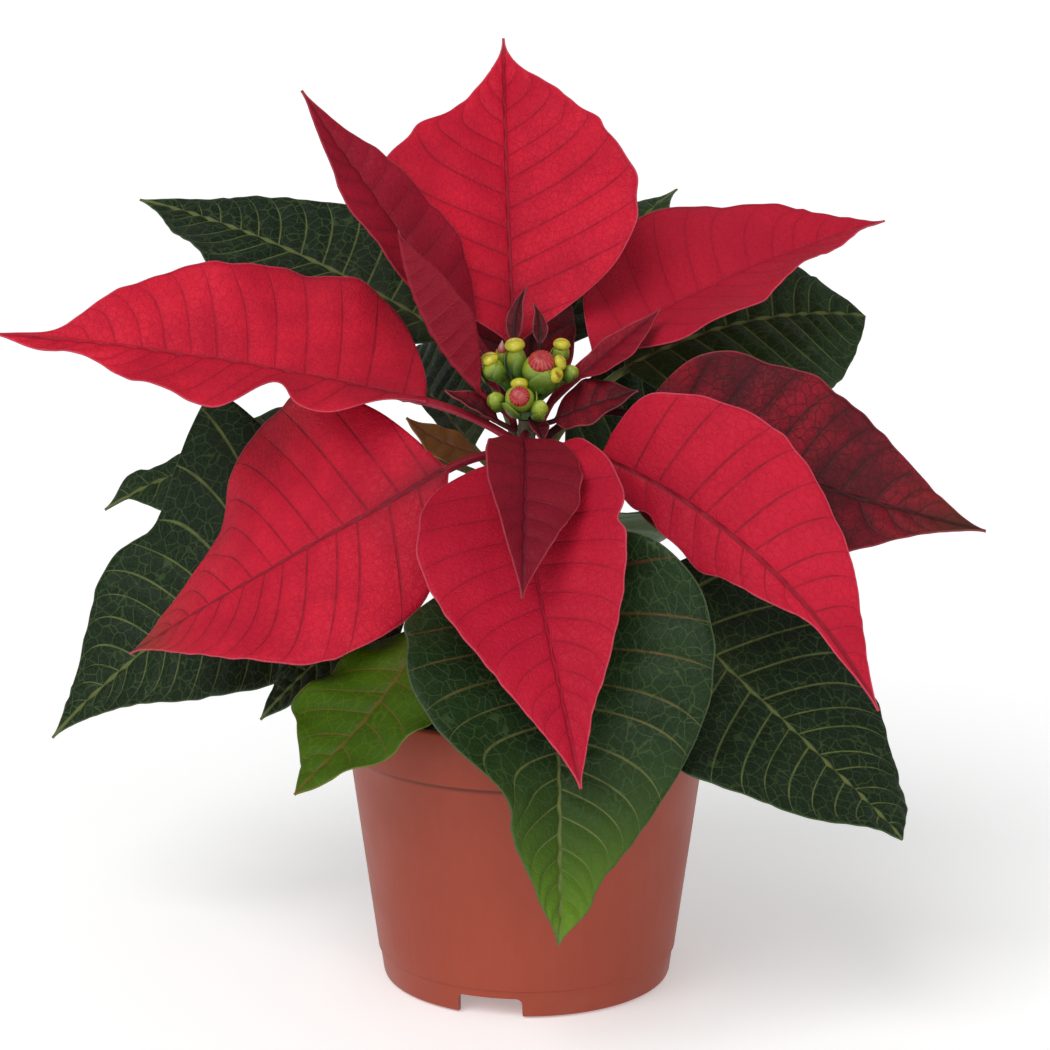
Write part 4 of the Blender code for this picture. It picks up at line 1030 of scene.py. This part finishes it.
def joined(name, pieces):
    nothing_selected()
    for piece in pieces:
        piece.select_set(True)
    bpy.context.view_layer.objects.active = pieces[0]
    bpy.ops.object.join()
    pieces[0].name = name
    return pieces[0]


def urn(co):
    """Fuller below than above, with soft ridges that grow towards the mouth."""
    turn = math.atan2(co.y, co.x)
    up = 0.5 + co.z / 2
    belly = 1.0 + 0.10 * math.sin(math.pi * up) - 0.10 * up
    ridge = 1.0 + 0.055 * up * math.cos(CUP_RIDGES * turn)
    return Vector((co.x * belly * ridge, co.y * belly * ridge, co.z - 0.10 * max(0.0, up - 0.9) * 10))


def scale_leaf(name, middle, axis, turn, radius, height):
    """A thin green scale that hugs the foot of a cup."""
    nothing_selected()
    bpy.ops.mesh.primitive_grid_add(x_subdivisions=8, y_subdivisions=12, size=2.0)
    piece = bpy.context.object
    piece.name = name
    ripe = piece.data.attributes.new("ripe", "FLOAT", "POINT")
    for i, vertex in enumerate(piece.data.vertices):
        up = (vertex.co.y + 1) / 2
        wide = math.sin(math.pi * (0.12 + 0.88 * up) ** 0.8) ** 0.7 * 0.75
        around = turn + vertex.co.x * wide
        out = radius * (0.55 + 0.62 * math.sin(math.pi * min(1.0, 0.2 + 0.55 * up)) + 0.16 * up * up)
        ripe.data[i].value = 0.15 + 0.5 * up
        vertex.co = Vector((out * math.cos(around), out * math.sin(around), height * (up * 0.8 - 0.55)))
    piece.data.transform(Matrix.Translation(Vector(middle) * MM) @ turned_to(axis) @ Matrix.Scale(MM, 4))
    wall = piece.modifiers.new("wall", "SOLIDIFY")
    wall.thickness = 0.25 * MM
    wall.offset = 1.0
    apply_modifiers(piece)
    bpy.ops.object.shade_smooth()
    return piece


neck = (HEAD_FOOT[0], HEAD_FOOT[1], HEAD_FOOT[2] + HEAD_HEIGHT)
root = (HEAD_FOOT[0], HEAD_FOOT[1], HEAD_FOOT[2] + 0.6 * HEAD_HEIGHT)
cup_parts = [rod(HEAD_FOOT, neck, HEAD_RADIUS, HEAD_RADIUS * 0.8)]
for cup, (middle, radius, height) in CUPS.items():
    axis = cup_axis(middle)
    cup_parts.append(rod(root, middle, 1.0, max(1.0, 0.55 * radius)))
    cup_parts.append(egg(cup, middle, axis, height / 2, radius, urn))
    for i in range(2):
        cup_parts.append(scale_leaf(cup, middle, axis, 2.4 * i + radius, radius, height * 0.9))
cups = joined("flower_cups_fleshy", cup_parts)

CUP_GREEN, tree, shader, place = new_material("cup_green")
ripe = node(tree, "Attribute", attribute_name="ripe").outputs["Fac"]
mottle = fade(tree, speckle(tree, place, 700.0, 3.0), 0.35, 0.7)
colour = blend_of(tree, fade(tree, ripe, 0.25, 0.85), (0.045, 0.105, 0.012), (0.34, 0.42, 0.030))
colour = blend_of(tree, fade(tree, ripe, 0.88, 1.0), colour, (0.52, 0.55, 0.10))
colour = blend_of(tree, mottle, colour, (0.09, 0.19, 0.015), 0.45)
blush = fade(tree, speckle(tree, place, 260.0, 2.0), 0.45, 0.65)
blush = times(tree, fade(tree, ripe, 0.2, 0.0), blush)
colour = blend_of(tree, blush, colour, (0.12, 0.03, 0.02), 0.6)
grain = speckle(tree, place, 1800.0, 2.0)
coat(tree, shader, colour, fade(tree, mottle, 0.0, 1.0, 0.25, 0.42), grain, 0.2, 0.0003)
shader.inputs["Subsurface Weight"].default_value = 0.25
shader.inputs["Subsurface Radius"].default_value = (0.001, 0.0012, 0.0004)
cups.data.materials.append(CUP_GREEN)
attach(cups, "root")
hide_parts("flower_cups")


# Tufts: the red fringed scales that close the mouths of the ripe cups. They are thin soft tissue,
# folded and gathered to the middle of the mouth. The slim one has just come out, pink at its point
TUFTS = {
    "tuft_main": ("main", (0.05, -0.62, 0.78), 3.6, 2.6, 3.6),
    "tuft_front": ("front", (0.0, -0.92, 0.38), 3.2, 1.9, 2.8),
    "tuft_upper_mid": ("upper_mid", (-0.1, -0.3, 0.95), 2.8, 1.6, 1.5),
}
TUFT_FOLDS = 17


def gathered(co):
    """Folds that run up to the middle of the tuft, where they meet in a small dimple."""
    turn = math.atan2(co.y, co.x)
    up = 0.5 + co.z / 2
    fold = 1.0 + 0.018 * math.sin(math.pi * up) * math.cos(TUFT_FOLDS * turn + 2.0 * co.z)
    dimple = 0.16 * math.exp(-((co.x**2 + co.y**2) / 0.05)) if co.z > 0 else 0.0
    return Vector((co.x * fold, co.y * fold, co.z * fold - dimple))


def pointed(co):
    """A slim tuft that narrows to a point and leans a little."""
    up = 0.5 + co.z / 2
    narrow = 1.0 - 0.85 * up**1.4
    return Vector((co.x * narrow + 0.5 * up * up, co.y * narrow, 1.5 * co.z))


# Painted shade: the red is darker in the valleys of the folds and paler on their crests
def folds_painted_shade(co):
    turn = math.atan2(co.y, co.x)
    return 0.5 + 0.5 * math.cos(TUFT_FOLDS * turn + 2.0 * co.z)


def pointed_colour(co):
    return 1.0 + max(0.0, 0.3 + 0.7 * co.z)


TUFT_RED, tree, shader, place = new_material("tuft_red")
ripe = node(tree, "Attribute", attribute_name="ripe").outputs["Fac"]
mottle = fade(tree, speckle(tree, place, 900.0, 3.0), 0.35, 0.7)
# On the ripe tufts, ripe follows the folds, so this darker red in their valleys is painted shade
colour = blend_of(tree, fade(tree, ripe, 0.15, 0.75), (0.20, 0.007, 0.014), (0.50, 0.036, 0.044))
colour = blend_of(tree, mottle, colour, (0.52, 0.085, 0.05), 0.5)
colour = blend_of(tree, fade(tree, ripe, 1.05, 1.7), colour, (0.66, 0.36, 0.36))
coat(tree, shader, colour, fade(tree, mottle, 0.0, 1.0, 0.3, 0.45), mottle, 0.2, 0.0003)
shader.inputs["Subsurface Weight"].default_value = 0.2
shader.inputs["Subsurface Radius"].default_value = (0.0012, 0.0004, 0.0003)
for name, (cup, way, reach, along, across) in TUFTS.items():
    way = Vector(way).normalized()
    ripe_cup = name != "tuft_upper_mid"
    tuft = egg(name + "_fringe", Vector(CUPS[cup][0]) + way * reach, way, along, across,
               gathered if ripe_cup else pointed, 88, 32, folds_painted_shade if ripe_cup else pointed_colour)
    tuft.data.materials.append(TUFT_RED)
    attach(tuft, "root")
    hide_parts(name)


# Nectar glands: small cushions with two lips, of wet yellow tissue that shines with nectar. One or
# two grow on the edge of a cup
GLANDS = {
    "gland_upper_left": ("upper_left", (-0.1, -0.25, 0.97), 4.6, 1.7, 2.4),
    "gland_left": ("left", (-0.3, -0.3, 0.93), 3.3, 1.5, 2.2),
    "gland_upper_right": ("upper_right", (0.1, -0.25, 0.96), 2.9, 1.5, 2.0),
    "gland_main_upper": ("main", (0.88, -0.25, 0.42), 6.0, 1.4, 1.9),
    "gland_main_lower": ("main", (0.72, -0.68, -0.1), 5.8, 1.4, 1.9),
    "gland_front": ("front", (0.0, 0.2, 1.0), 4.2, 1.6, 2.1),
}
GLAND_SWELL = 1.18


def two_lips(co):
    """A cushion with a deep slot across its outer face."""
    slot = 0.55 * math.exp(-((co.y / 0.20) ** 2)) * max(0.0, co.z) * math.exp(-((co.x / 0.8) ** 4))
    return Vector((co.x, co.y * (1.0 - 0.25 * abs(co.x) ** 3), co.z * 0.9 - slot))


def lips_colour(co):
    return math.exp(-((co.y / 0.25) ** 2)) * max(0.0, co.z)


GLAND_YELLOW, tree, shader, place = new_material("gland_yellow")
ripe = node(tree, "Attribute", attribute_name="ripe").outputs["Fac"]
mottle = fade(tree, speckle(tree, place, 800.0, 3.0), 0.3, 0.7)
colour = blend_of(tree, mottle, (0.62, 0.52, 0.030), (0.42, 0.44, 0.035))
colour = blend_of(tree, ripe, colour, (0.42, 0.16, 0.012), 0.8)
coat(tree, shader, colour, fade(tree, mottle, 0.0, 1.0, 0.16, 0.3), mottle, 0.15, 0.0003)
shader.inputs["Subsurface Weight"].default_value = 0.2
shader.inputs["Subsurface Radius"].default_value = (0.001, 0.0008, 0.0002)
for name, (cup, way, reach, along, across) in GLANDS.items():
    way = Vector(way).normalized()
    gland = egg(name + "_lips", Vector(CUPS[cup][0]) + way * reach, way, along * GLAND_SWELL,
                across * GLAND_SWELL, two_lips, 48, 32, lips_colour)
    gland.data.materials.append(GLAND_YELLOW)
    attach(gland, "root")
    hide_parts(name)
